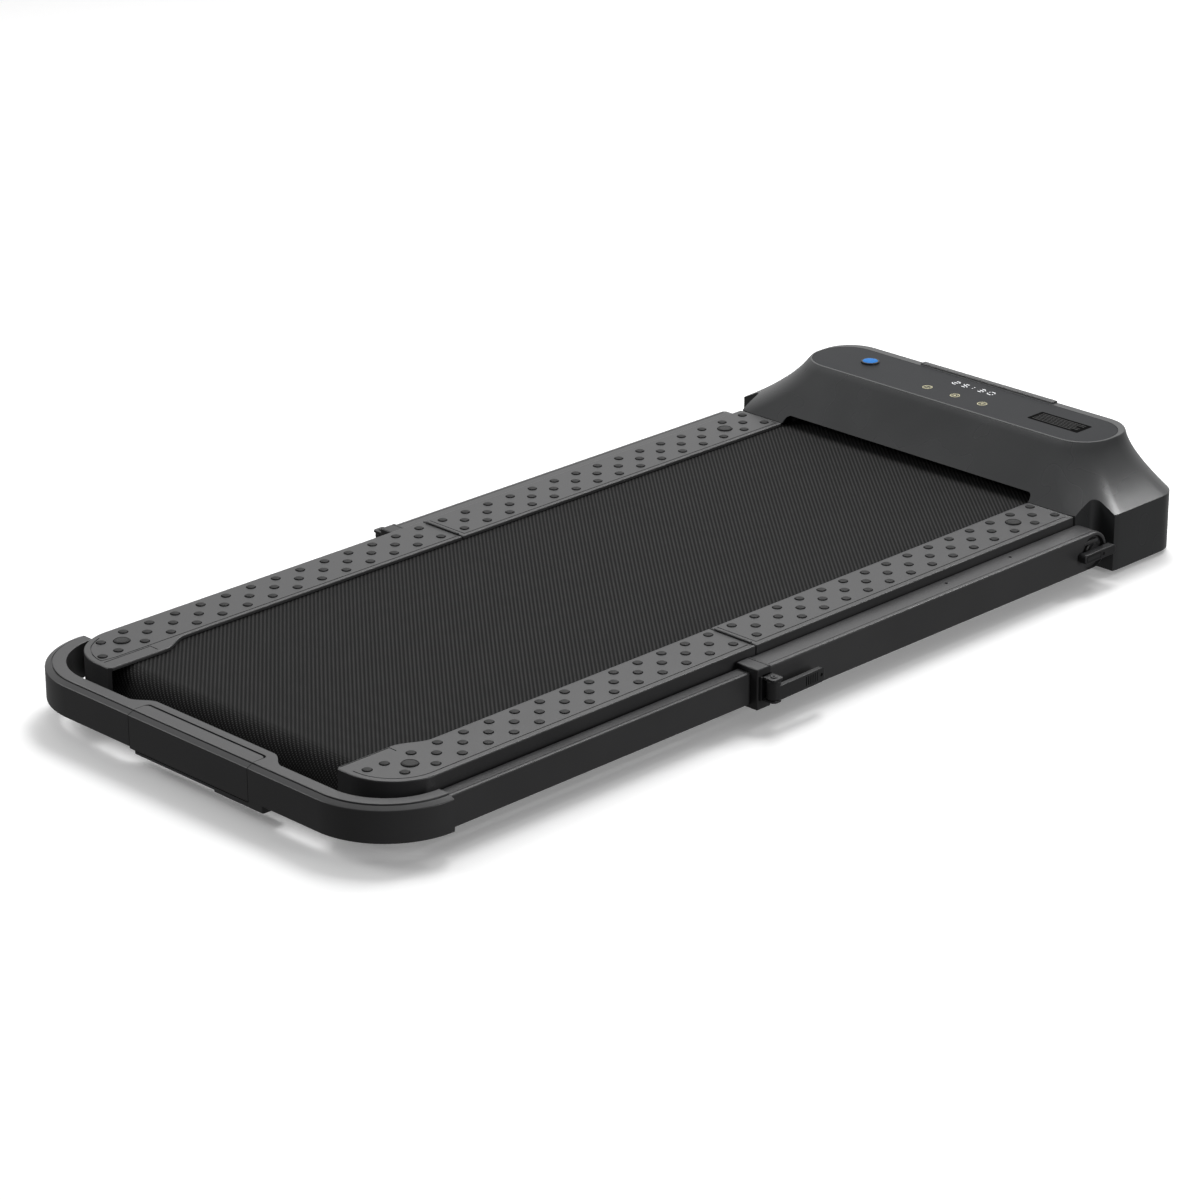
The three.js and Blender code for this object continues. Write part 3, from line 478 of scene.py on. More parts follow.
def brushed(name, colour, rough=0.32):
    """Turned or ground steel, with fine lines round the axis."""
    tree = Nodes(name)
    lines = tree.noise(260, 5, stretch=(6, 0.4, 0.4))
    dark = tuple(c * 0.72 for c in colour)
    tree.link(tree.ramp(lines, [(0.3, dark), (0.7, colour)]), tree.shader.inputs["Base Color"])
    gloss = tree.math("ADD", tree.math("MULTIPLY", lines, 0.2), rough - 0.1)
    tree.link(gloss, tree.shader.inputs["Roughness"])
    tree.shader.inputs["Metallic"].default_value = 1.0
    tree.bump(lines, 0.0001)
    return tree.material


def fibreboard(name):
    """Pressed wood fibre: short flecks in a plain brown."""
    tree = Nodes(name)
    flecks = tree.noise(420, 6, stretch=(1, 2.2, 1))
    colours = [(0.35, (0.13, 0.075, 0.04)), (0.65, (0.27, 0.17, 0.1))]
    tree.link(tree.ramp(flecks, colours), tree.shader.inputs["Base Color"])
    tree.shader.inputs["Roughness"].default_value = 0.85
    tree.bump(flecks, 0.0003)
    return tree.material


def glowing(name, colour, strength):
    """A mark with its own glow, slightly uneven: the display's light on lit marks, painted glow on
    printed ones.
    """
    tree = Nodes(name)
    uneven = tree.noise(500, 2)
    dark = tuple(c * 0.8 for c in colour)
    mark = tree.ramp(uneven, [(0.3, dark), (0.7, colour)])
    tree.link(mark, tree.shader.inputs["Base Color"])
    tree.link(mark, tree.shader.inputs["Emission Color"])
    tree.shader.inputs["Emission Strength"].default_value = strength
    tree.shader.inputs["Roughness"].default_value = 0.4
    tree.shader.inputs["Specular IOR Level"].default_value = 0.1
    return tree.material


COAT_GRAIN = {"grain": 0.00006, "grain_scale": 900}
RAIL_PLASTIC = moulded("rail_plastic", (0.037, 0.037, 0.038), rough=0.33, **COAT_GRAIN)
STUD_PLASTIC = moulded("stud_plastic", (0.012, 0.012, 0.012), rough=0.5, specular=0.2, **COAT_GRAIN)
# Near-black rings lying round the studs: painted shade for their gaps.
STUD_GAP_SHADE = moulded("stud_gap_painted_shade", (0.006, 0.006, 0.006), rough=0.8, specular=0.05)
PLUG_RUBBER = moulded(
    "plug_rubber", (0.016, 0.016, 0.016), rough=0.5, grain=0.0004, grain_scale=600, specular=0.25
)
HOOD_PLASTIC = moulded(
    "hood_plastic", (0.037, 0.038, 0.039), rough=0.27, grain=0.00002, grain_scale=1500
)
PANEL_PLASTIC = moulded(
    "panel_plastic", (0.022, 0.023, 0.025), rough=0.42, grain=0.00003, specular=0.08
)
ARM_COAT = moulded("arm_coat", (0.043, 0.043, 0.044), rough=0.33, grain=0.00005, grain_scale=1100)
TUBE_COAT = moulded("tube_coat", (0.038, 0.038, 0.039), rough=0.34, grain=0.00005, grain_scale=1100)
LOOP_PLASTIC = moulded("loop_plastic", (0.039, 0.039, 0.040), rough=0.36, **COAT_GRAIN)
GRIP_PLASTIC = moulded("grip_plastic", (0.018, 0.018, 0.019), rough=0.4, grain=0.0001)
UNDER_PLASTIC = moulded(
    "under_plastic", (0.022, 0.022, 0.023), rough=0.6, grain=0.0003, grain_scale=500
)
SOFT_RUBBER = moulded("soft_rubber", (0.012, 0.012, 0.012), rough=0.85, grain=0.0003, specular=0.25)
FRAME_PAINT = moulded("frame_paint", (0.02, 0.021, 0.022), rough=0.42, grain=0.0001, grain_scale=1400)
LABEL_FILM = moulded("label_film", (0.002, 0.002, 0.002), rough=0.6, grain=0.00002, specular=0.01)
COPPER_BOARD = moulded("circuit_lacquer", (0.015, 0.11, 0.045), rough=0.35, grain=0.0001, spread=0.3)
STEEL = brushed("steel", (0.5, 0.5, 0.51))
BRASS = brushed("brass_contact", (0.55, 0.42, 0.2))
BOARD = fibreboard("fibreboard")
BELT = belt_weave()
# White glow: the display's own light on the digits, painted glow on the printed switch marks.
WHITE_LIT_AND_PAINTED_GLOW = glowing("white_lit_and_painted_glow", (0.85, 0.86, 0.88), 0.45)
WARM_MARK = glowing("warm_mark", (0.62, 0.58, 0.38), 0.25)
# Blue with emission for the badge: painted glow.
BLUE_BADGE_PAINTED_GLOW = glowing("blue_badge_painted_glow", (0.01, 0.16, 0.50), 0.10)
# Faint emission on the label's printed lines: painted glow.
GREY_LABEL_PAINTED_GLOW = glowing("grey_label_painted_glow", (0.09, 0.09, 0.09), 0.01)

SLOT_MATERIALS = {
    "casing": UNDER_PLASTIC,
    "rail": RAIL_PLASTIC,
    "belt": BELT,
    "frame": FRAME_PAINT,
    "board": BOARD,
    "steel": STEEL,
    "arm": ARM_COAT,
    "loop": LOOP_PLASTIC,
    "grip": GRIP_PLASTIC,
    "rubber": SOFT_RUBBER,
    "panel": PANEL_PLASTIC,
    "circuit": COPPER_BOARD,
}


def dress_cad_nodes():
    """Gives every CAD node that stays its slot's material, and a small bevel on its edges."""
    for row in frame["record"]["subparts"]:
        node = frame["nodes"][row["node"]]
        node.data.materials.clear()
        node.data.materials.append(SLOT_MATERIALS[row["material_slot"]])
        rounding = node.modifiers.new("edge", "BEVEL")
        rounding.width = 0.0006
        rounding.segments = 2
        rounding.limit_method = "ANGLE"
        rounding.angle_limit = math.radians(40)


# ---------- foot rails ----------


def finish_rail(name, rail, body, lines_right, lines_left):
    """Cuts the grooves into both rails. The rim's groove lies on the same side of each."""
    left = mirrored(rail)
    for side, mesh, lines in (("right", rail, lines_right), ("left", left, lines_left)):
        cut = carve(mesh, [groove(path, 1.4, RAIL_TOP, 1.3) for path in lines])
        shell = f"{name}_shell_{side}"
        add_piece(shell, cut, body, "rail", RAIL_PLASTIC, replaces=(f"{name}_{side}",))


def build_front_rails():
    """A hollow rail with a notch for the arm's bolt, and a groove round its rim."""
    rail = slab(box_outline(RAIL_X0, RAIL_X1, SEAM_EDGE, RAIL_END), RAIL_BOTTOM, RAIL_TOP)
    soften(rail, 1.6, 3)
    cavity = block(RAIL_X0 - 5, RAIL_X1 - WALL, -9, RAIL_END + 9, 5, RAIL_TOP - WALL)
    reach = 11  # half the notch
    notch = block(RAIL_X1 - 10, RAIL_X1 + 5, KNOB_Y - reach, RAIL_END + 9, KNOB_Z - reach, KNOB_Z + reach)
    rail = carve(rail, [cavity, notch])
    line_x = RAIL_X1 - GROOVE_INSET
    right = [(RAIL_X0 + 4, SEAM_GROOVE_Y), (line_x, SEAM_GROOVE_Y), (line_x, RAIL_END - 7)]
    line_x = -RAIL_X0 - RIM_LEFT
    left = [(-RAIL_X1 + 6, SEAM_GROOVE_Y), (line_x, SEAM_GROOVE_Y)]
    left += [(line_x, RAIL_END - 5), (line_x - 9, RAIL_END - 5)]
    finish_rail("front_rail", rail, "base", [right], [left])


def rear_outline(inset, inner, bulge, seam_y):
    """Plan outline of a rear rail. It widens over the belt at the rear, and its corner is round."""
    cx, cy = RAIL_X1 - REAR_CORNER_R, REAR_END + REAR_CORNER_R
    widening = []
    steps = 8
    for i in range(steps + 1):
        t = i / steps
        ease = t * t * (3 - 2 * t)
        widening.append((inner + (bulge - inner) * ease, -468 - 46 * t))
    return (
        [(inner, seam_y)]
        + widening
        + [(bulge, REAR_END + 5 + inset), (bulge + 4, REAR_END + inset)]
        + arc(cx, cy, REAR_CORNER_R - inset, -90, 0, 20)
        + [(RAIL_X1 - inset, seam_y)]
    )


def build_rear_rails():
    rail = slab(rear_outline(0, RAIL_X0, BULGE_X, -SEAM_EDGE), RAIL_BOTTOM, RAIL_TOP)
    soften(rail, 1.6, 3, at_height(RAIL_TOP))
    cavity = slab(rear_outline(WALL, RAIL_X0 - 25, BULGE_X - 9, 9), 5, RAIL_TOP - WALL)
    rail = carve(rail, [cavity])
    cx, cy = RAIL_X1 - REAR_CORNER_R, REAR_END + REAR_CORNER_R
    rim = arc(cx, cy, REAR_CORNER_R - GROOVE_INSET, -94, 0, 20) + [(RAIL_X1 - GROOVE_INSET, -6)]
    insert = [(BULGE_X + 2.6, REAR_END + 5), (BULGE_X + 2.6, -520), (BULGE_X + 15, -520)]
    line_x = -RAIL_X0 - RIM_LEFT
    rim_left = [(line_x, -6), (line_x, -572), (line_x - 3, -592)]
    rim_left += [(-x, y) for x, y in arc(cx, cy, REAR_CORNER_R - GROOVE_INSET, -84, -18, 14)]
    insert_left = [(line_x + 3.4, REAR_END + 8), (line_x + 3.4, -521), (-BULGE_X - 6, -521)]
    finish_rail("rear_rail", rail, "rear_deck", [rim, insert], [rim_left, insert_left])


def build_hinge_leaves():
    """Painted hinge leaves in the fold seam, with screw holes, low enough to leave the seam dark."""
    for place, body in (("front", "base"), ("rear", "rear_deck")):
        x0, x1, y0, y1, z0, _ = span(f"fold_leaf_{place}_right")
        top = RAIL_TOP - LEAF_DROP
        leaf = slab(round_outline(x0, x1, z0, top, 4), y0, y1, "xz")
        mid = (z0 + top) / 2
        holes = []
        for x in (x0 + 10, (x0 + x1) / 2, x1 - 10):
            hole = round_outline(x - 2, x + 2, mid - 2, mid + 2, 1.99)
            holes.append(slab(hole, y0 - 1, y1 + 1, "xz"))
        leaf = carve(leaf, holes)
        node = f"fold_leaf_{place}"
        add_pair(f"{place}_hinge_leaf", leaf, (body, body), "frame", FRAME_PAINT, node=node)


def stud(x, y):
    """A flat stud with steep sides."""
    profile = [
        (STUD_R, -0.3),
        (STUD_R, STUD_RISE - 0.45),
        (STUD_R - 0.15, STUD_RISE - 0.15),
        (STUD_R - 0.5, STUD_RISE),
        (0.6, STUD_RISE - 0.15),
    ]
    return turned(profile, (x, y, RAIL_TOP), sides=22)


def stud_gap(x, y, radius):
    """Painted shade for the gap round a stud: a thin dark ring lying flat on the rail."""
    return ring(x, y, radius + 1.0, 1.1, RAIL_TOP, 0.08)


def plug(x, y):
    """A large round plug with a sunken rim and a slightly domed, textured top."""
    edge = [(PLUG_R, -0.3), (PLUG_R, 1.0), (PLUG_R - 0.3, 1.3), (PLUG_R - 0.9, 1.35)]
    sunk = [(PLUG_R - 1.2, 0.9), (PLUG_R - 1.7, 0.9), (PLUG_R - 2, 1.3), (1, 1.4)]
    return turned(edge + sunk, (x, y, RAIL_TOP), sides=36)


def build_studs():
    """Three rows of studs on each rail. On the left they stand nearer the outer edge."""
    outer_rows = (STUD_INNER_X, STUD_OUTER_X)
    front = [(x, 25.5 + STUD_PITCH_FRONT * i) for x in outer_rows for i in range(15)]
    front += [(256.5, 45.8 + 41.1 * i) for i in range(12)] + [(256.2, 581)]
    rear = [(x, -16.5 - STUD_PITCH_REAR * i) for x in outer_rows for i in range(13)]
    rear += [(STUD_MID_X, -37.2 - STUD_PITCH_REAR * i) for i in range(12)]
    rear += [(STUD_INNER_X, -553.6), (269.5, -553.3), (234, -579)]
    dx, dy = STUD_SHIFT
    deck_rows = (("front", "base", front, 542.5), ("rear", "rear_deck", rear, -533))
    for place, body, spots, plug_y in deck_rows:
        spots_left = [(-x - dx, y + dy) for x, y in spots]
        plug_left = (-STUD_MID_X - dx, plug_y - 1.8)
        sides = (("right", spots, (STUD_MID_X, plug_y)), ("left", spots_left, plug_left))
        for side, places, big in sides:
            studs = merge(*[stud(x, y) for x, y in places])
            # Thin dark rings round the studs and the plug: painted shade for the gaps round them.
            gaps = merge(*[stud_gap(x, y, STUD_R) for x, y in places], stud_gap(*big, PLUG_R))
            top = plug(*big)
            add_piece(f"{place}_rail_studs_{side}", studs, body, "rail", STUD_PLASTIC, weighted=False)
            add_piece(f"{place}_stud_gap_shade_{side}", gaps, body, "rubber", STUD_GAP_SHADE, weighted=False)
            add_piece(f"{place}_rail_plug_{side}", top, body, "rail", PLUG_RUBBER, weighted=False)


# ---------- walking belt ----------


def belt_path(lift):
    """The belt's closed path as (y, z), front to rear over the top and back below.

    lift is 0 on the outer face, and minus the thickness on the inner one.
    """
    _, _, y0, y1, z0, z1 = span("rear_roller")
    rear_y, axis_z = (y0 + y1) / 2, (z0 + z1) / 2
    _, _, y0, y1, _, _ = span("front_roller_axle")
    front_y = (y0 + y1) / 2
    radius = BELT_TOP - axis_z + lift
    low = axis_z - radius
    idler_top = span("front_idler")[5] + BELT_RUN_GAP
    climb = idler_top - lift
    top = [(y, axis_z + radius) for y in (18, 14, 10, 7, 4, 2, 0, -2, -4, -7, -10, -14, -18)]
    rear = arc(rear_y, axis_z, radius, 90, 270, 28)
    front = arc(front_y, axis_z, radius, -90, 90, 28)
    rise = [(-66, low), (-38, climb)]
    bridge = [(y, climb) for y in (-24, -16, -10, -5, 0, 5, 10, 16, 24)]
    fall = [(38, climb), (66, low)]
    return top + rear + rise + bridge + fall + front


def belt_face(bm, uv, corners, places):
    """One face of the belt, with its place on the weave."""
    face = bm.faces.new(corners)
    for loop, place in zip(face.loops, places):
        loop[uv].uv = place


def build_belt():
    """A closed belt, with its weave laid out by the distance along it."""
    outer, inner = belt_path(0), belt_path(-BELT_THICK)
    bm = bmesh.new()
    uv = bm.loops.layers.uv.new("weave")
    columns = [-BELT_X, -BELT_X + 1.2, BELT_X - 1.2, BELT_X]
    first, last = columns[0], columns[-1]
    lengths = [0.0]
    for start, end in zip(outer, outer[1:] + outer[:1]):
        lengths.append(lengths[-1] + math.dist(start, end))
    n = len(outer)
    rows_out = [[bm.verts.new((x, y, z)) for x in columns] for y, z in outer]
    rows_in = [[bm.verts.new((x, y, z)) for x in (first, last)] for y, z in inner]
    for i in range(n):
        j = (i + 1) % n
        v0, v1 = lengths[i], lengths[i + 1]
        for c, (a, b) in enumerate(zip(columns, columns[1:])):
            corners = (rows_out[i][c], rows_out[i][c + 1], rows_out[j][c + 1], rows_out[j][c])
            belt_face(bm, uv, corners, [(a, v0), (b, v0), (b, v1), (a, v1)])
        inside = (rows_in[i][0], rows_in[j][0], rows_in[j][1], rows_in[i][1])
        belt_face(bm, uv, inside, [(first, v0), (first, v1), (last, v1), (last, v0)])
        for c_out, c_in in ((0, 0), (-1, 1)):
            side = (rows_out[i][c_out], rows_out[j][c_out], rows_in[j][c_in], rows_in[i][c_in])
            belt_face(bm, uv, side, [(0, v0), (0, v1), (BELT_THICK, v1), (BELT_THICK, v0)])
    bmesh.ops.recalc_face_normals(bm, faces=bm.faces)
    nodes = ("belt_front", "belt_rear")
    belt = add_piece("walking_belt", bm, None, "belt", BELT, replaces=nodes, weighted=False)
    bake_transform(belt)


# ---------- hood ----------


def between(x0, y0, x1, y1, steps):
    """Points inside a straight run, without its ends."""
    return [(x0 + (x1 - x0) * i / steps, y0 + (y1 - y0) * i / steps) for i in range(1, steps)]


def hood_half(side, front, front_r, back_r, back):
    """Right half of a plan with a round front corner and a round back corner, front to back."""
    return (
        [(0, front)]
        + between(0, front, side - front_r, front, 10)
        + arc(side - front_r, front + front_r, front_r, -90, 0, 18)
        + between(side, front + front_r, side, back - back_r, 8)
        + arc(side - back_r, back - back_r, back_r, 0, 90, 10)
        + between(side - back_r, back, 0, back, 6)
    )


def hood_ring(z, spread, inset):
    """spread is 1 at rail height and 0 at the top. The front is straight, and the sides flare."""
    flare = spread**1.65
    back = HOOD_Y1 - inset
    nose, corner = HOOD_NOSE_R - inset, HOOD_CORNER_R - inset
    base = hood_half(HOOD_X - inset, HOOD_Y0 + inset, nose, corner, back)
    top = hood_half(TOP_HALF - inset, TOP_FRONT + inset, TOP_R - inset, TOP_R - inset, back)
    half = []
    for (bx, by), (tx, ty) in zip(base, top):
        half.append((tx + (bx - tx) * flare, ty + (by - ty) * spread, z))
    other = [(-x, y, z) for x, y, z in reversed(half[1:])]
    return half + [(0, half[-1][1], z)] + other


def hood_body(inset, bottom, edge=0.0):
    """The hood as a solid. edge rounds its upper rim."""
    top = PANEL_Z - inset
    rings = [hood_ring(bottom, 1, inset), hood_ring(RAIL_TOP - 1.2, 1, inset)]
    steps = 16
    for i in range(steps):
        spread = 1 - i / steps
        z = RAIL_TOP + (top - RAIL_TOP) * (1 - spread)
        rings.append(hood_ring(z, spread, inset))
    if edge:
        for turn in (30, 60, 90):
            drop = edge * (1 - math.sin(math.radians(turn)))
            pull = edge * (1 - math.cos(math.radians(turn)))
            rings.append(hood_ring(top - drop, 0, inset + pull))
    else:
        rings.append(hood_ring(top, 0, inset))
    return skin(rings)


def arm_recesses(grow):
    """Cutters for the spaces that the arms' round ends turn in, one on each side."""
    x, y, fillet = RAIL_X1 - grow, HOOD_SIDE_Y + grow, 12
    corner = arc(x + fillet, y - fillet, fillet, 180, 90, 7)
    outline = [(x, HOOD_Y0 - 20)] + corner + [(HOOD_X + 20, y), (HOOD_X + 20, HOOD_Y0 - 20)]
    right = slab(outline, HOOD_Z0 - 20, RAIL_TOP + 40)
    return [right, mirrored(right)]


def hood_openings():
    """The belt's mouth, the panel's bed, notches for the arms' bolts, and two holes at the back."""
    inlet = span("power_inlet")
    rocker = span("power_switch")
    front, back = HOOD_Y0 - 9, HOOD_Y1 + 9
    lip = RAIL_TOP + HOOD_LIP
    mouth = slab(round_outline(-RAIL_X0, RAIL_X0, -20, lip, 8), front, HOOD_Y0 + 30, "xz")
    frame_mouth = block(-293, 293, front, HOOD_Y0 + 12, -9, RAIL_TOP - 0.2)
    play = 0.4  # round the panel
    bed = round_outline(-PANEL_X - play, PANEL_X + play, PANEL_Y0 - play, PANEL_Y1 + play, 46, 14)
    reach = 11  # half a notch
    notches = []
    for side in (-1, 1):
        x = side * 304
        notches.append(block(x - 16, x + 2, front, KNOB_Y + reach, KNOB_Z - reach, KNOB_Z + reach))
    flange = 7
    inlet_x = (inlet[0] + flange, inlet[1] - flange)
    return [
        mouth,
        frame_mouth,
        slab(bed, PANEL_Z - 2, PANEL_Z + 9),
        *notches,
        block(*inlet_x, HOOD_Y1 - 10, back, inlet[4] + 4, inlet[5] - 4),
        block(rocker[0] - 1, rocker[1] + 1, HOOD_Y1 - 10, back, rocker[4] - 1, rocker[5] + 1),
    ]


def build_hood():
    """A lofted shell, open below, with a low strip along the back edge of its top."""
    inside = carve(hood_body(HOOD_WALL, HOOD_Z0 - 9), arm_recesses(HOOD_WALL))
    hood = hood_body(0, HOOD_Z0, edge=2.2)
    hood = carve(hood, [inside, *hood_openings(), *arm_recesses(0)])
    back = HOOD_Y1 - 0.2
    rib_top = PANEL_Z + RIB_RISE
    rib = block(-RIB_HALF, RIB_HALF, back - RIB_DEPTH, back, PANEL_Z - 3, rib_top)
    soften(rib, 1.6, 4, at_height(rib_top))
    hood = carve(hood, [rib], "UNION")
    add_piece("hood_shell", hood, "base", "casing", HOOD_PLASTIC, replaces=("hood",), sharp=28)


def build_panel():
    """The flat plate on the hood, cut short where the strip at the back stands."""
    outline = round_outline(-PANEL_X, PANEL_X, PANEL_Y0, PANEL_Y1, 45.7, 16)
    panel = slab(outline, PANEL_Z - 1.7, PANEL_Z)
    soften(panel, 0.6, 2, at_height(PANEL_Z))
    half, front = RIB_HALF + 0.5, HOOD_Y1 - RIB_DEPTH - 0.7
    panel = carve(panel, [block(-half, half, front, HOOD_Y1, PANEL_Z - 9, PANEL_Z + 9)])
    add_piece("panel_plate", panel, "base", "panel", PANEL_PLASTIC, replaces=("display_panel",))


SEGMENTS = {"0": "abcdef", "2": "abged", "3": "abgcd", "5": "afgcd"}
MARK_THICK = 0.12


def mark(x0, x1, y0, y1, thick=MARK_THICK):
    """A thin printed bar on the panel."""
    return block(x0, x1, y0, y1, PANEL_Z, PANEL_Z + thick)


def digit(shape, x, y, wide, high):
    """A seven-segment digit, read from the walker's side."""
    bar = 1.5
    half = bar / 2
    mid = high / 2
    rows = {"a": high, "g": mid, "d": 0}
    columns = {"f": (0, mid), "e": (0, 0), "b": (wide, mid), "c": (wide, 0)}
    bars = []
    for name in SEGMENTS[shape]:
        if name in rows:
            level = y + rows[name]
            bars.append(mark(x + bar, x + wide - bar, level - half, level + half))
        else:
            across, up = x + columns[name][0], y + columns[name][1]
            bars.append(mark(across - half, across + half, up + bar, up + mid - bar))
    return merge(*bars)


def touch_key(x, y, kind):
    """Two rings round a minus, a plus or a start arrow."""
    parts = [ring(x, y, 7, 0.9, PANEL_Z), ring(x, y, 4.6, 0.4, PANEL_Z)]
    reach, half = 2.4, 0.45
    if kind == "run":
        arrow = [(x - 1.6, y - reach), (x + reach, y), (x - 1.6, y + reach)]
        parts.append(slab(arrow, PANEL_Z, PANEL_Z + MARK_THICK))
    else:
        parts.append(mark(x - reach, x + reach, y - half, y + half))
    if kind == "plus":
        parts.append(mark(x - half, x + half, y - reach, y + reach, 0.14))
    return parts


def build_panel_marks():
    """Display digits, touch keys, a blank label and a plain round badge."""
    digits = [digit(c, x, 757, 9, 10.5) for c, x in (("2", -36), ("5", -19), ("3", 10), ("0", 27))]
    colon = [mark(-1.2, 0.2, y, y + 1.4) for y in (759.5, 764.5)]
    add_piece("display_digits", merge(*digits, *colon), "base", "panel", WHITE_LIT_AND_PAINTED_GLOW, weighted=False)

    keys = []
    for x, kind in ((-48.5, "minus"), (1.2, "run"), (50, "plus")):
        keys += touch_key(x, 721, kind)
    add_piece("touch_key_marks", merge(*keys), "base", "panel", WARM_MARK, weighted=False)

    film = PANEL_Z + 0.2
    label = slab(round_outline(129.5, 216, 720.3, 753.2, 2), PANEL_Z, film)
    add_piece("blank_label", label, "base", "panel", LABEL_FILM, weighted=False)
    rows = []
    for i in range(6):
        y, length = 725 + 4.4 * i, 75 if i % 3 else 66
        rows.append(block(135, 135 + length, y, y + 0.9, film, film + 0.1))
    # The label's printed lines glow faintly: painted glow.
    add_piece("blank_label_lines", merge(*rows), "base", "panel", GREY_LABEL_PAINTED_GLOW, weighted=False)

    badge = (-175, 745, PANEL_Z)
    rim = [(13, 0), (13, 2.0), (12.4, 2.6), (11, 2.6), (10.8, 2.1)]
    rim = turned(rim, badge, sides=48)
    add_piece("badge_rim", rim, "base", "panel", GRIP_PLASTIC, weighted=False)
    dome = [(10.7, 2.1), (10.6, 2.5), (9.4, 2.95), (6, 3.15), (1, 3.2)]
    dome = turned(dome, badge, sides=48)
    # The badge dot glows: painted glow.
    add_piece("badge_dot", dome, "base", "panel", BLUE_BADGE_PAINTED_GLOW, weighted=False)


# ---------- handle ----------


LOWER = ("handle_lower", "handle_lower")
UPPER = ("handle_upper", "handle_upper")


def at_x(x):
    """Chooses edges that lie at one x."""
    return lambda e: all(abs(v.co.x - x) < 0.01 for v in e.verts)


def build_arms():
    """The outer tubes: a round pivot end, a bore for the inner tube, a groove and two screws."""
    mid = (ARM_Z0 + ARM_Z1) / 2
    r = (ARM_Z1 - ARM_Z0) / 2
    side = [(ARM_REAR, ARM_Z0)] + arc(ARM_FRONT - r, mid, r, -90, 90, 28) + [(ARM_REAR, ARM_Z1)]
    arm = slab(side, ARM_X0, ARM_X1, "yz")
    soften(arm, 2.6, 3, at_x(ARM_X1))
    soften(arm, 0.8, 2, at_x(ARM_X0))
    slot = (TUBE_X0 - 0.3, TUBE_X1 + 0.3, ARM_REAR - 9, KNOB_Y - 34, TUBE_Z0 - 0.3, TUBE_Z1 + 0.3)
    recess = turned([(KNOB_RECESS_R, 0), (KNOB_RECESS_R, 12)], (ARM_X1 - 6, KNOB_Y, KNOB_Z), "x", 48)
    bolt_hole = turned([(BOLT_R, 0), (BOLT_R, 40)], (ARM_X0 - 9, KNOB_Y, KNOB_Z), "x", 24)
    line_x = ARM_X1 - 6.2
    line = groove([(line_x, ARM_REAR + 1), (line_x, ARM_FRONT - r)], 0.9, ARM_Z1, 0.8)
    hole = [(2.3, 0), (2.3, 9)]
    screw = [(2.1, 0), (2.1, 0.8), (1.4, 1.1), (0.3, 0.9)]
    places = [(ARM_SCREW_X, y, ARM_Z1 - 3) for y in ARM_SCREW_Y]
    holes = [turned(hole, place, "z", 20) for place in places]
    arm = carve(arm, [block(*slot), recess, bolt_hole, line, *holes])
    add_pair("outer_tube_shell", arm, LOWER, "arm", ARM_COAT, node="outer_tube")
    screws = merge(*[turned(screw, place, "z", 16) for place in places])
    add_pair("outer_tube_screws", screws, LOWER, "steel", GRIP_PLASTIC, weighted=False)


def build_knobs():
    """A T-bar on a hub, in a round recess, with a short index tab above it."""
    face = ARM_X1 + KNOB_RISE
    profile = [(13, 0), (13, 3), (11.5, 4.4), (11, 8)]
    hub = turned(profile, (ARM_X1 - 5.5, KNOB_Y, KNOB_Z), "x", 40)
    half = 6.5  # half the bar's height
    bar = round_outline(KNOB_Y - KNOB_HALF, KNOB_Y + KNOB_HALF, KNOB_Z - half, KNOB_Z + half, 5)
    bar = slab(bar, ARM_X1 + 1.5, face, "yz")
    soften(bar, 1.1, 3)
    y0, y1, reach = KNOB_Y - 28, KNOB_Y + 1, 3.8
    edges = []
    for g in (0, 0.9):
        edges.append(round_outline(y0 + g, y1 - g, KNOB_Z - reach + g, KNOB_Z + reach - g, 1.5))
    outside, inside = edges
    walls = [(outside, -0.9), (outside, 2), (inside, 2), (inside, -0.9)]
    trim = skin([[(face + x, y, z) for y, z in edge] for edge, x in walls], closed=True)
    dimple = turned([(2.4, 0), (2.4, 9)], (face - 1.4, KNOB_Y + 6, KNOB_Z), "x", 18)
    knob = carve(carve(bar, [trim, dimple]), [hub], "UNION")
    bodies = ("pivot_knob_right", "pivot_knob_left")
    add_pair("clamp_knob", knob, bodies, "grip", GRIP_PLASTIC, node="pivot_knob")
    tab = round_outline(KNOB_Y - 20, KNOB_Y + 9, KNOB_Z + 13.5, KNOB_Z + 18.5, 2.4, 4)
    tab = slab(tab, ARM_X1 - 5, ARM_X1 + 0.5, "yz")
    soften(tab, 0.8, 2)
    add_pair("knob_index_tab", tab, LOWER, "arm", ARM_COAT, weighted=False)


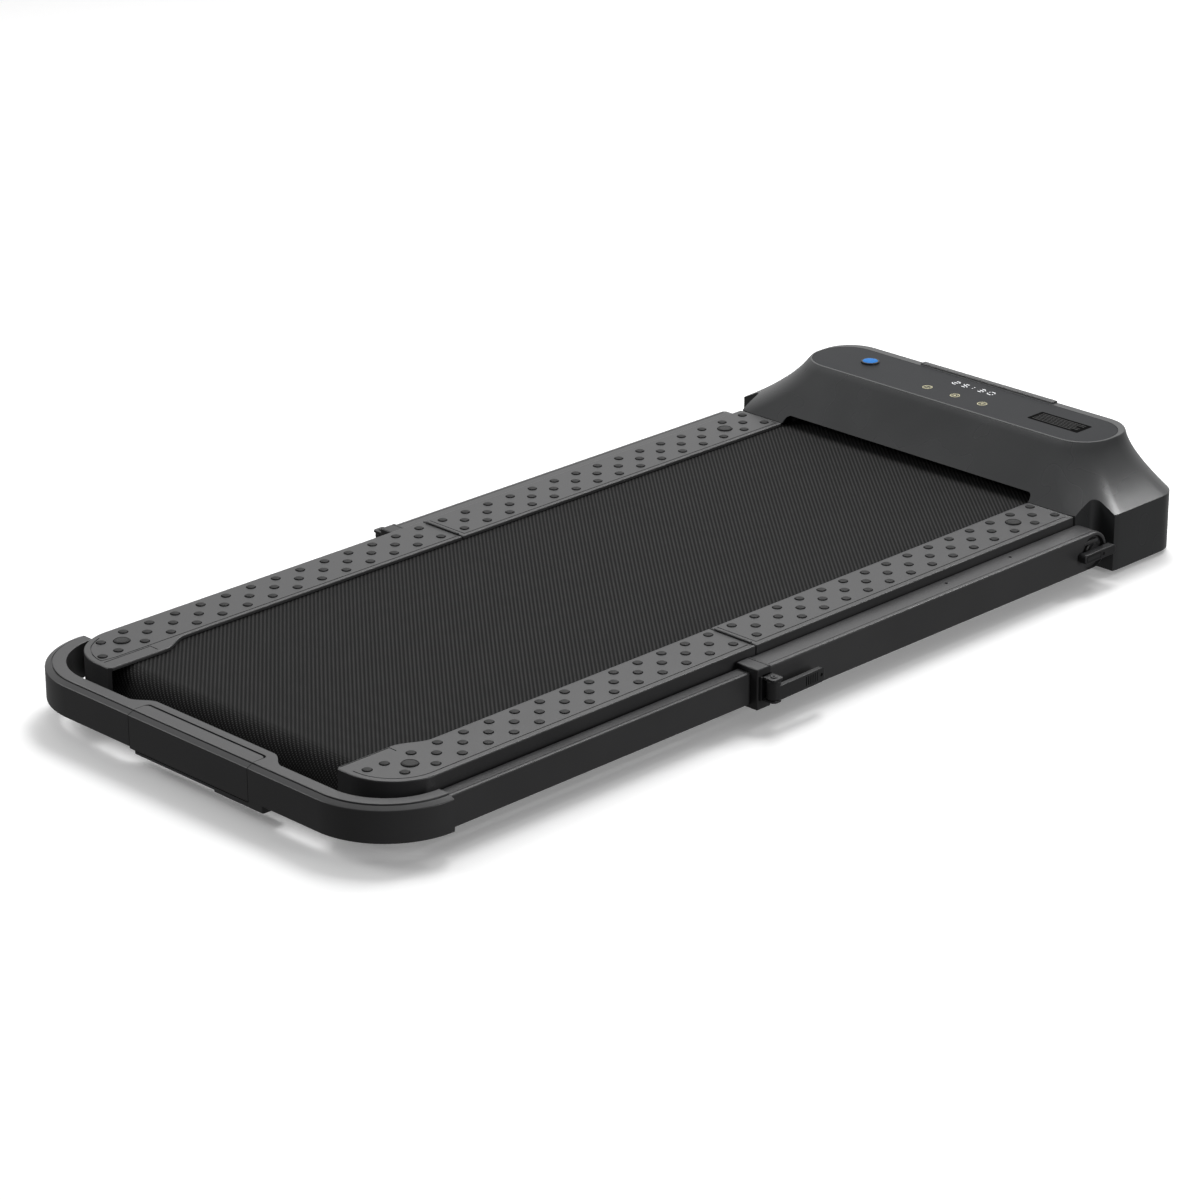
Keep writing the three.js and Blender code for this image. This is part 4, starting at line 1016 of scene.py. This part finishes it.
def build_collars():
    """The clamp round the inner tube, with the hinge that the lever turns on."""
    x0, _, y0, y1, z0, z1 = span("clamp_collar_right")
    x1 = ARM_X1 + 0.6
    y0 += COLLAR_REAR
    band = slab(box_outline(x0, x1, y0, y1), z0, z1)
    soften(band, 1.8, 3)
    hole = block(TUBE_X0 - 0.3, TUBE_X1 + 0.3, y0 - 9, y1 + 9, TUBE_Z0 - 0.3, TUBE_Z1 + 0.3)
    band = carve(band, [hole, groove([(x0 - 2, y1 - 5), (x1 + 2, y1 - 5)], 0.9, z1, 0.9)])
    parts = [band]
    for low, high, corner in ((62.3, HINGE_HIGH, 4), (HINGE_LOW, 37.4, 7)):
        cheek = round_outline(ARM_X1 - 1, LEVER_X + 8.6, LEVER_Y - 9, LEVER_Y + 9, corner, 5)
        parts.append(soften(slab(cheek, low, high), 0.8, 2))
    spine = block(ARM_X1 - 1, LEVER_X - 9.6, y0 + 3.2, LEVER_Y + 10, HINGE_LOW, HINGE_HIGH)
    parts.append(soften(spine, 0.6, 2))
    screw = [(4.4, 0), (4.4, 0.9), (3.8, 1.3), (1.7, 1.3), (1.5, 0.4), (0.3, 0.4)]
    parts.append(turned(screw, (LEVER_X, LEVER_Y, 65.7), "z", 20))
    pin = [(LEVER_PIN_R, 0), (LEVER_PIN_R, 27)]
    parts.append(turned(pin, (LEVER_X, LEVER_Y, 36), "z", 16))
    add_pair("collar_band", merge(*parts), LOWER, "grip", GRIP_PLASTIC, node="clamp_collar")


def build_levers():
    """The cam lever: a barrel round the pin and a slim blade with finger ribs near its tip."""
    x, y = LEVER_X, LEVER_Y
    outer = [(x + 9, y), (x + 8, y + 30), (x + 7.4, y + 62)]
    tip = arc(x + 3.2, y + LEVER_LENGTH, 3.4, 0, 180, 8)
    inner = [(x + 1, y + 40), (x + 1, y + 10), (x - 4, y + 2)]
    blade = slab(outer + tip + inner, LEVER_LOW, LEVER_HIGH)
    corners = round_outline(y - 20, y + LEVER_LENGTH + 3.4, LEVER_LOW, LEVER_HIGH, 8.5)
    corners = slab(corners, x - 9, x + 20, "yz")
    blade = carve(soften(blade, 0.8, 2), [corners], "INTERSECT")
    barrel = turned([(8.2, 38), (8.9, 38.6), (8.9, 61.4), (8.2, 62)], (x, y, 0), "z", 28)
    lever = carve(blade, [barrel], "UNION")
    cuts = []
    for i in range(6):
        start = y + 50 + 4.0 * i
        cuts.append(block(x + 6.3, x + 12, start, start + 1.6, 41, 53))
    bore = LEVER_PIN_R + 0.3
    cuts.append(turned([(bore, 30), (bore, 70)], (x, y, 0), "z", 16))
    cuts.append(turned([(2.4, 0), (2.4, 6)], (x + 4.6, y + 79, 47), "x", 16))
    lever = carve(lever, cuts)
    bodies = ("collar_lever_right", "collar_lever_left")
    add_pair("cam_lever", lever, bodies, "grip", GRIP_PLASTIC, node="collar_lever")


def build_tubes():
    """The inner tubes: rounded rectangular tube with a groove along the top."""
    tube = slab(box_outline(TUBE_X0, TUBE_X1, TUBE_Z0, TUBE_Z1), TUBE_REAR, TUBE_FRONT, "xz")
    soften(tube, 1.6, 3, lambda e: abs(e.verts[0].co.y - e.verts[1].co.y) > 1)
    rear, front = TUBE_REAR - 9, TUBE_FRONT + 9
    bore = slab(round_outline(TUBE_X0 + 2, TUBE_X1 - 2, TUBE_Z0 + 2, TUBE_Z1 - 2, 1), rear, front, "xz")
    line_x = TUBE_X1 - 5
    line = groove([(line_x, TUBE_REAR - 2), (line_x, TUBE_FRONT + 2)], 0.8, TUBE_Z1, 0.7)
    tube = carve(tube, [bore, line])
    add_pair("inner_tube_shell", tube, UPPER, "arm", TUBE_COAT, node="inner_tube")


def loop_stations():
    """Stations along the loop's outer wall, right to left: place, inward direction and width."""
    cx, cy = LOOP_X - LOOP_R, LOOP_Y + LOOP_R
    stations = []
    steps = 28
    for i in range(steps + 1):
        a = math.radians(-90 * i / steps)
        place = (cx + LOOP_R * math.cos(a), cy + LOOP_R * math.sin(a))
        stations.append((place, (-math.cos(a), -math.sin(a)), LOOP_WIDTH))
    steps = 8
    for i in range(steps + 1):
        t = i / steps
        x = FLAP_X - 2 + LOOP_BLEND * (1 - t)
        ease = t * t * (3 - 2 * t)
        stations.append(((x, LOOP_Y), (0, 1), LOOP_WIDTH + (LOOP_BULGE - LOOP_WIDTH) * ease))
    left = [((-p[0], p[1]), (-d[0], d[1]), w) for p, d, w in reversed(stations)]
    return stations + left


def loop_body():
    """The loop's outside: rounded wall, sloping band, thin groove, flat top, inner wall."""
    rings = []
    for (x, y), (dx, dy), width in loop_stations():
        section = [
            (0.8, LOOP_Z0),
            (0, LOOP_Z0 + 0.8),
            (0, LOOP_WALL_TOP - 0.8),
            (0.25, LOOP_WALL_TOP - 0.1),
            (0.9, LOOP_WALL_TOP + 0.5),
            (7.6, LOOP_Z1 - 1.3),
            (8.0, LOOP_Z1 - 2.2),
            (9.1, LOOP_Z1 - 2.2),
            (9.4, LOOP_Z1 - 0.5),
            (10.0, LOOP_Z1),
            (width - 1.2, LOOP_Z1),
            (width - 0.35, LOOP_Z1 - 0.35),
            (width, LOOP_Z1 - 1.2),
            (width, LOOP_Z0),
        ]
        rings.append([(x + dx * depth, y + dy * depth, z) for depth, z in section])
    return skin(rings)


def flap_outline(gap, slot):
    """Plan of the holder's flap, with round corners at the slot."""
    half, r = FLAP_X + gap, 6
    corner_y = SLOT_Y - r + slot
    outside = [(-half, LOOP_Y - 20), (half, LOOP_Y - 20)]
    return outside + arc(half - r, corner_y, r, 0, 90, 8) + arc(-half + r, corner_y, r, 90, 180, 8)


def build_loop():
    """The loop with the device holder's tray and slot, and the flap that closes the holder."""
    pocket = slab(flap_outline(0.3, 3.0), TRAY_Z + 6, LOOP_Z1 + 9)
    trays = []
    for x0, x1, z in ((TRAY_STEP_X, TRAY_X1, TRAY_Z), (TRAY_X0, TRAY_STEP_X + 8, TRAY_Z + 2.4)):
        tray = slab(round_outline(x0, x1, LOOP_Y + 0.2, TRAY_FRONT, 3, 3), z, LOOP_Z0 + 3)
        trays.append(soften(tray, 1.0, 2, at_height(z)))
    loop = carve(carve(loop_body(), trays, "UNION"), [pocket])
    nodes = ("handle_loop",)
    add_piece("handle_loop_shell", loop, "handle_upper", "loop", LOOP_PLASTIC, replaces=nodes, sharp=30)

    low = LOOP_Z0 - 9
    keep = slab(flap_outline(-0.5, -0.3), low, LOOP_Z1 + 9)
    reach = FLAP_X + 9
    hollow = block(-reach, reach, LOOP_Y + LOOP_WALL, SLOT_Y + 30, low, LOOP_Z1 - LOOP_WALL)
    flap = carve(carve(loop_body(), [keep], "INTERSECT"), [hollow])
    for v in flap.verts:
        if v.co.z < LOOP_Z0 + 0.9:
            v.co.z = FLAP_Z0 + (0.3 if v.co.y > LOOP_Y + 0.5 else 1.2)
    nodes = ("device_flap",)
    add_piece("device_flap_shell", flap, "device_flap", "loop", LOOP_PLASTIC, replaces=nodes, sharp=30)


# ---------- wheels, feet, underside, back ----------


def wheel_part(profile, x, y, axis_z):
    """A closed ring turned round an axis along x. The profile is (radius, place along the axis)."""
    turn = [math.tau * i / 40 for i in range(40)]
    rings = []
    for radius, along in profile:
        circle = [(y + radius * math.cos(t), axis_z + radius * math.sin(t)) for t in turn]
        rings.append([(x + along, a, b) for a, b in circle])
    return skin(rings, closed=True)


def build_wheels():
    """A rubber tyre with a groove round its middle, on a hub with a sunken face."""
    x0, x1, y0, y1, z0, z1 = span("transport_wheel_right")
    x, y, r = (x0 + x1) / 2, (y0 + y1) / 2, (z1 - z0) / 2
    half = (x1 - x0) / 2
    side = [(r - 6, half), (r - 2.4, half), (r - 0.8, half - 0.6), (r, half - 2)]
    side += [(r, 1.2), (r - 0.8, 0.6)]
    tyre = [(radius, -along) for radius, along in side] + side[::-1]
    bodies = ("transport_wheel_right", "transport_wheel_left")
    rubber = wheel_part(tyre, x, y, r)
    add_pair("wheel_tyre", rubber, bodies, "rubber", SOFT_RUBBER, node="transport_wheel")
    bore, outside = 4.3, r - 6.2
    hub = [(bore, 1 - half), (outside, 1 - half), (outside, half - 1), (r - 8, half - 2.4)]
    hub += [(6.4, half - 2.4), (6, half), (bore, half)]
    add_pair("wheel_hub", wheel_part(hub, x, y, r), bodies, "grip", GRIP_PLASTIC)


def build_feet():
    """Ribbed rubber feet that narrow upwards."""
    for place, body in (("front", "base"), ("rear", "rear_deck")):
        x0, x1, y0, y1, _, z1 = span(f"{place}_foot_right")
        centre = ((x0 + x1) / 2, (y0 + y1) / 2, 0)
        r = (x1 - x0) / 2
        profile = [(1, 1.2), (r - 5, 1.2), (r - 4.4, 0), (r - 2, 0), (r - 0.4, 1.2), (r, 3)]
        for i in range(4):
            z = 4.2 + 2.6 * i
            profile.append((r - 1.2 - 0.5 * i, z))
            profile.append((r - 0.6 - 0.6 * i, z + 0.8))
            profile.append((r - 1.4 - 0.5 * i, z + 1.6))
        profile += [(r - 3.4, z1), (1, z1)]
        foot = turned(profile, centre, "z", 40)
        add_pair(f"{place}_foot_pad", foot, (body, body), "rubber", SOFT_RUBBER, node=f"{place}_foot")


def build_belly_pans():
    """Pressed pans under both halves: a rolled rim, stiffening ribs and screws."""
    count = 7
    head = [(4.2, 0.1), (4.2, -0.9), (3.4, -1.7), (1.9, -1.9), (1.7, -1.1), (0.3, -1.1)]
    for place, body in (("front", "base"), ("rear", "rear_deck")):
        node = f"{place}_belly_pan"
        x0, x1, y0, y1, z0, z1 = span(node)
        parts = [soften(slab(round_outline(x0, x1, y0, y1, 12, 5), z0, z1), 0.8, 2)]
        for i in range(count):
            y = y0 + (y1 - y0) * (i + 1) / (count + 1)
            rib = slab(round_outline(x0 + 60, x1 - 60, y - 9, y + 9, 8.9, 6), z0 - 2, z0 + 1)
            parts.append(soften(rib, 1.6, 3, at_height(z0 - 2)))
        pan = merge(*parts)
        add_piece(f"{place}_pan_pressing", pan, body, "casing", UNDER_PLASTIC, replaces=(node,))
        columns = (x0 + 14, x0 + 200, x1 - 200, x1 - 14)
        rows = (y0 + 14, (y0 + y1) / 2, y1 - 14)
        screws = merge(*[turned(head, (x, y, z0), "z", 18) for x in columns for y in rows])
        add_piece(f"{place}_pan_screws", screws, body, "steel", STEEL, weighted=False)


def build_back_details():
    """Three contact blades in the inlet, marks on the rocker switch, and a bezel round it."""
    x0, x1, _, _, z0, z1 = span("power_inlet")
    x, z = (x0 + x1) / 2, (z0 + z1) / 2
    blades = []
    for dx, dz in ((-7, -1.5), (0, 3), (7, -1.5)):
        cx, cz = x + dx, z + dz
        blade = block(cx - 1, cx + 1, HOOD_Y1 - 21.5, HOOD_Y1 - 6, cz - 2, cz + 2)
        blades.append(soften(blade, 0.4, 2))
    add_piece("inlet_blades", merge(*blades), "base", "steel", BRASS, weighted=False)

    x0, x1, _, face, z0, z1 = span("power_switch")
    x = (x0 + x1) / 2
    stroke = block(x - 3.4, x + 3.4, face - 2.2, face - 0.75, z1 - 5.2, z1 - 4.4)
    turn = [math.tau * i / 24 for i in range(24)]
    rings = []
    for r, y in ((2.6, -1.9), (2.6, -0.8), (1.8, -0.8), (1.8, -1.9)):
        rings.append([(x + r * math.cos(t), face + y, z0 + 5 + r * math.sin(t)) for t in turn])
    marks = merge(stroke, skin(rings, closed=True))
    # The printed switch marks glow: painted glow.
    add_piece("switch_marks", marks, "power_switch", "rubber", WHITE_LIT_AND_PAINTED_GLOW, weighted=False)
    rim = round_outline(x0 - 5, x1 + 5, z0 - 5, z1 + 5, 2)
    bezel = slab(rim, HOOD_Y1 - 0.3, HOOD_Y1 + 1.2, "xz")
    hole = block(x0 - 1, x1 + 1, HOOD_Y1 - 9, HOOD_Y1 + 9, z0 - 1, z1 + 1)
    add_piece("switch_bezel", carve(bezel, [hole]), "base", "grip", GRIP_PLASTIC)


# ---------- camera, light and floor ----------


def place_object(name, data):
    made = bpy.data.objects.new(name, data)
    bpy.context.scene.collection.objects.link(made)
    return made


def build_camera():
    """Stands where the photograph's camera stood."""
    azimuth, elevation, roll = (math.radians(a) for a in (44.99, 22.163, -0.139))
    distance, lens = 5.1846, 124.11
    target = Vector((0.0608, SEAM - 0.0299, RAIL_TOP * MM))
    across = math.cos(elevation)
    back = Vector((math.sin(azimuth) * across, -math.cos(azimuth) * across, math.sin(elevation)))
    camera = place_object("camera", bpy.data.cameras.new("camera"))
    camera.data.lens = lens
    camera.data.sensor_width = 36
    camera.data.clip_end = 200
    camera.location = target + back * distance
    turn = (-back).to_track_quat("-Z", "Y").to_matrix().to_4x4() @ Matrix.Rotation(roll, 4, "Z")
    camera.rotation_euler = turn.to_euler()
    bpy.context.scene.camera = camera


def build_floor():
    """A wide white floor that stays out of the reflections."""
    mesh = bpy.data.meshes.new("floor")
    grid = bmesh.new()
    bmesh.ops.create_grid(grid, x_segments=2, y_segments=2, size=60)
    grid.to_mesh(mesh)
    grid.free()
    floor = place_object("floor", mesh)
    tree = Nodes("floor_white")
    tree.shader.inputs["Base Color"].default_value = (0.94, 0.94, 0.94, 1)
    tree.shader.inputs["Roughness"].default_value = 0.9
    tree.shader.inputs["Specular IOR Level"].default_value = 0.0
    tree.shader.inputs["Emission Color"].default_value = (1, 1, 1, 1)
    tree.shader.inputs["Emission Strength"].default_value = 0.16
    mesh.materials.append(tree.material)
    floor.visible_diffuse = False
    floor.visible_glossy = False


def build_world():
    """A studio that is bright behind the machine and dark in front of it."""
    world = bpy.data.worlds.new("studio")
    bpy.context.scene.world = world
    world.use_nodes = True
    nodes = world.node_tree.nodes
    links = world.node_tree.links
    where = nodes.new("ShaderNodeTexCoord")
    facing = nodes.new("ShaderNodeVectorMath")
    facing.operation = "DOT_PRODUCT"
    facing.inputs[1].default_value = Vector((-0.45, 0.65, 0.6)).normalized()
    links.new(where.outputs["Generated"], facing.inputs[0])
    rise = nodes.new("ShaderNodeMath")
    rise.operation = "MULTIPLY_ADD"
    rise.inputs[1].default_value = 0.5
    rise.inputs[2].default_value = 0.5
    links.new(facing.outputs["Value"], rise.inputs[0])
    ramp = nodes.new("ShaderNodeValToRGB")
    links.new(rise.outputs[0], ramp.inputs[0])
    stops = [(0.25, 0.16), (0.33, 0.16), (0.45, 0.17), (0.6, 0.2)]
    stops += [(0.73, 0.35), (0.85, 0.55), (0.95, 1.0)]
    points = ramp.color_ramp.elements
    while len(points) < len(stops):
        points.new(0.5)
    for point, (place, value) in zip(points, stops):
        point.position = place
        point.color = (value, value, value, 1)
    links.new(ramp.outputs[0], nodes["Background"].inputs["Color"])
    nodes["Background"].inputs["Strength"].default_value = 0.9


def soft_box(name, place, aim, size, power, glossy=True):
    """A rectangular lamp that points at a spot."""
    light = place_object(name, bpy.data.lights.new(name, "AREA"))
    light.data.shape = "RECTANGLE"
    light.data.size, light.data.size_y = size
    light.data.energy = power
    light.location = place
    light.rotation_euler = (Vector(aim) - Vector(place)).to_track_quat("-Z", "Y").to_euler()
    light.visible_glossy = glossy


def build_stage():
    build_camera()
    build_floor()
    build_world()
    soft_box("back_key", (-0.8, 1.7, 4.2), (0, 0, 0), (1.4, 1.4), 88, glossy=False)
    soft_box("edge_light", (-1.3, 1.5, 2.6), (0.1, 0.2, 0.1), (1.8, 0.6), 30)
    soft_box("left_fill", (-2.4, -2.0, 1.9), (0.1, 0.5, 0.1), (1.6, 1.0), 34)
    soft_box("flare_light", (0.26, 2.7, 2.4), (0.32, 0.7, 0.1), (0.8, 0.4), 20)
    soft_box("right_fill", (3.6, 0.6, 0.9), (0.3, 0.2, 0.05), (0.8, 1.6), 40)
    bpy.context.scene.view_settings.view_transform = "Standard"


# ---------- assembly ----------

build_stage()
dress_cad_nodes()
build_front_rails()
build_rear_rails()
build_hinge_leaves()
build_studs()
build_belt()
build_hood()
build_panel()
build_panel_marks()
build_arms()
build_knobs()
build_collars()
build_levers()
build_tubes()
build_loop()
build_wheels()
build_feet()
build_belly_pans()
build_back_details()
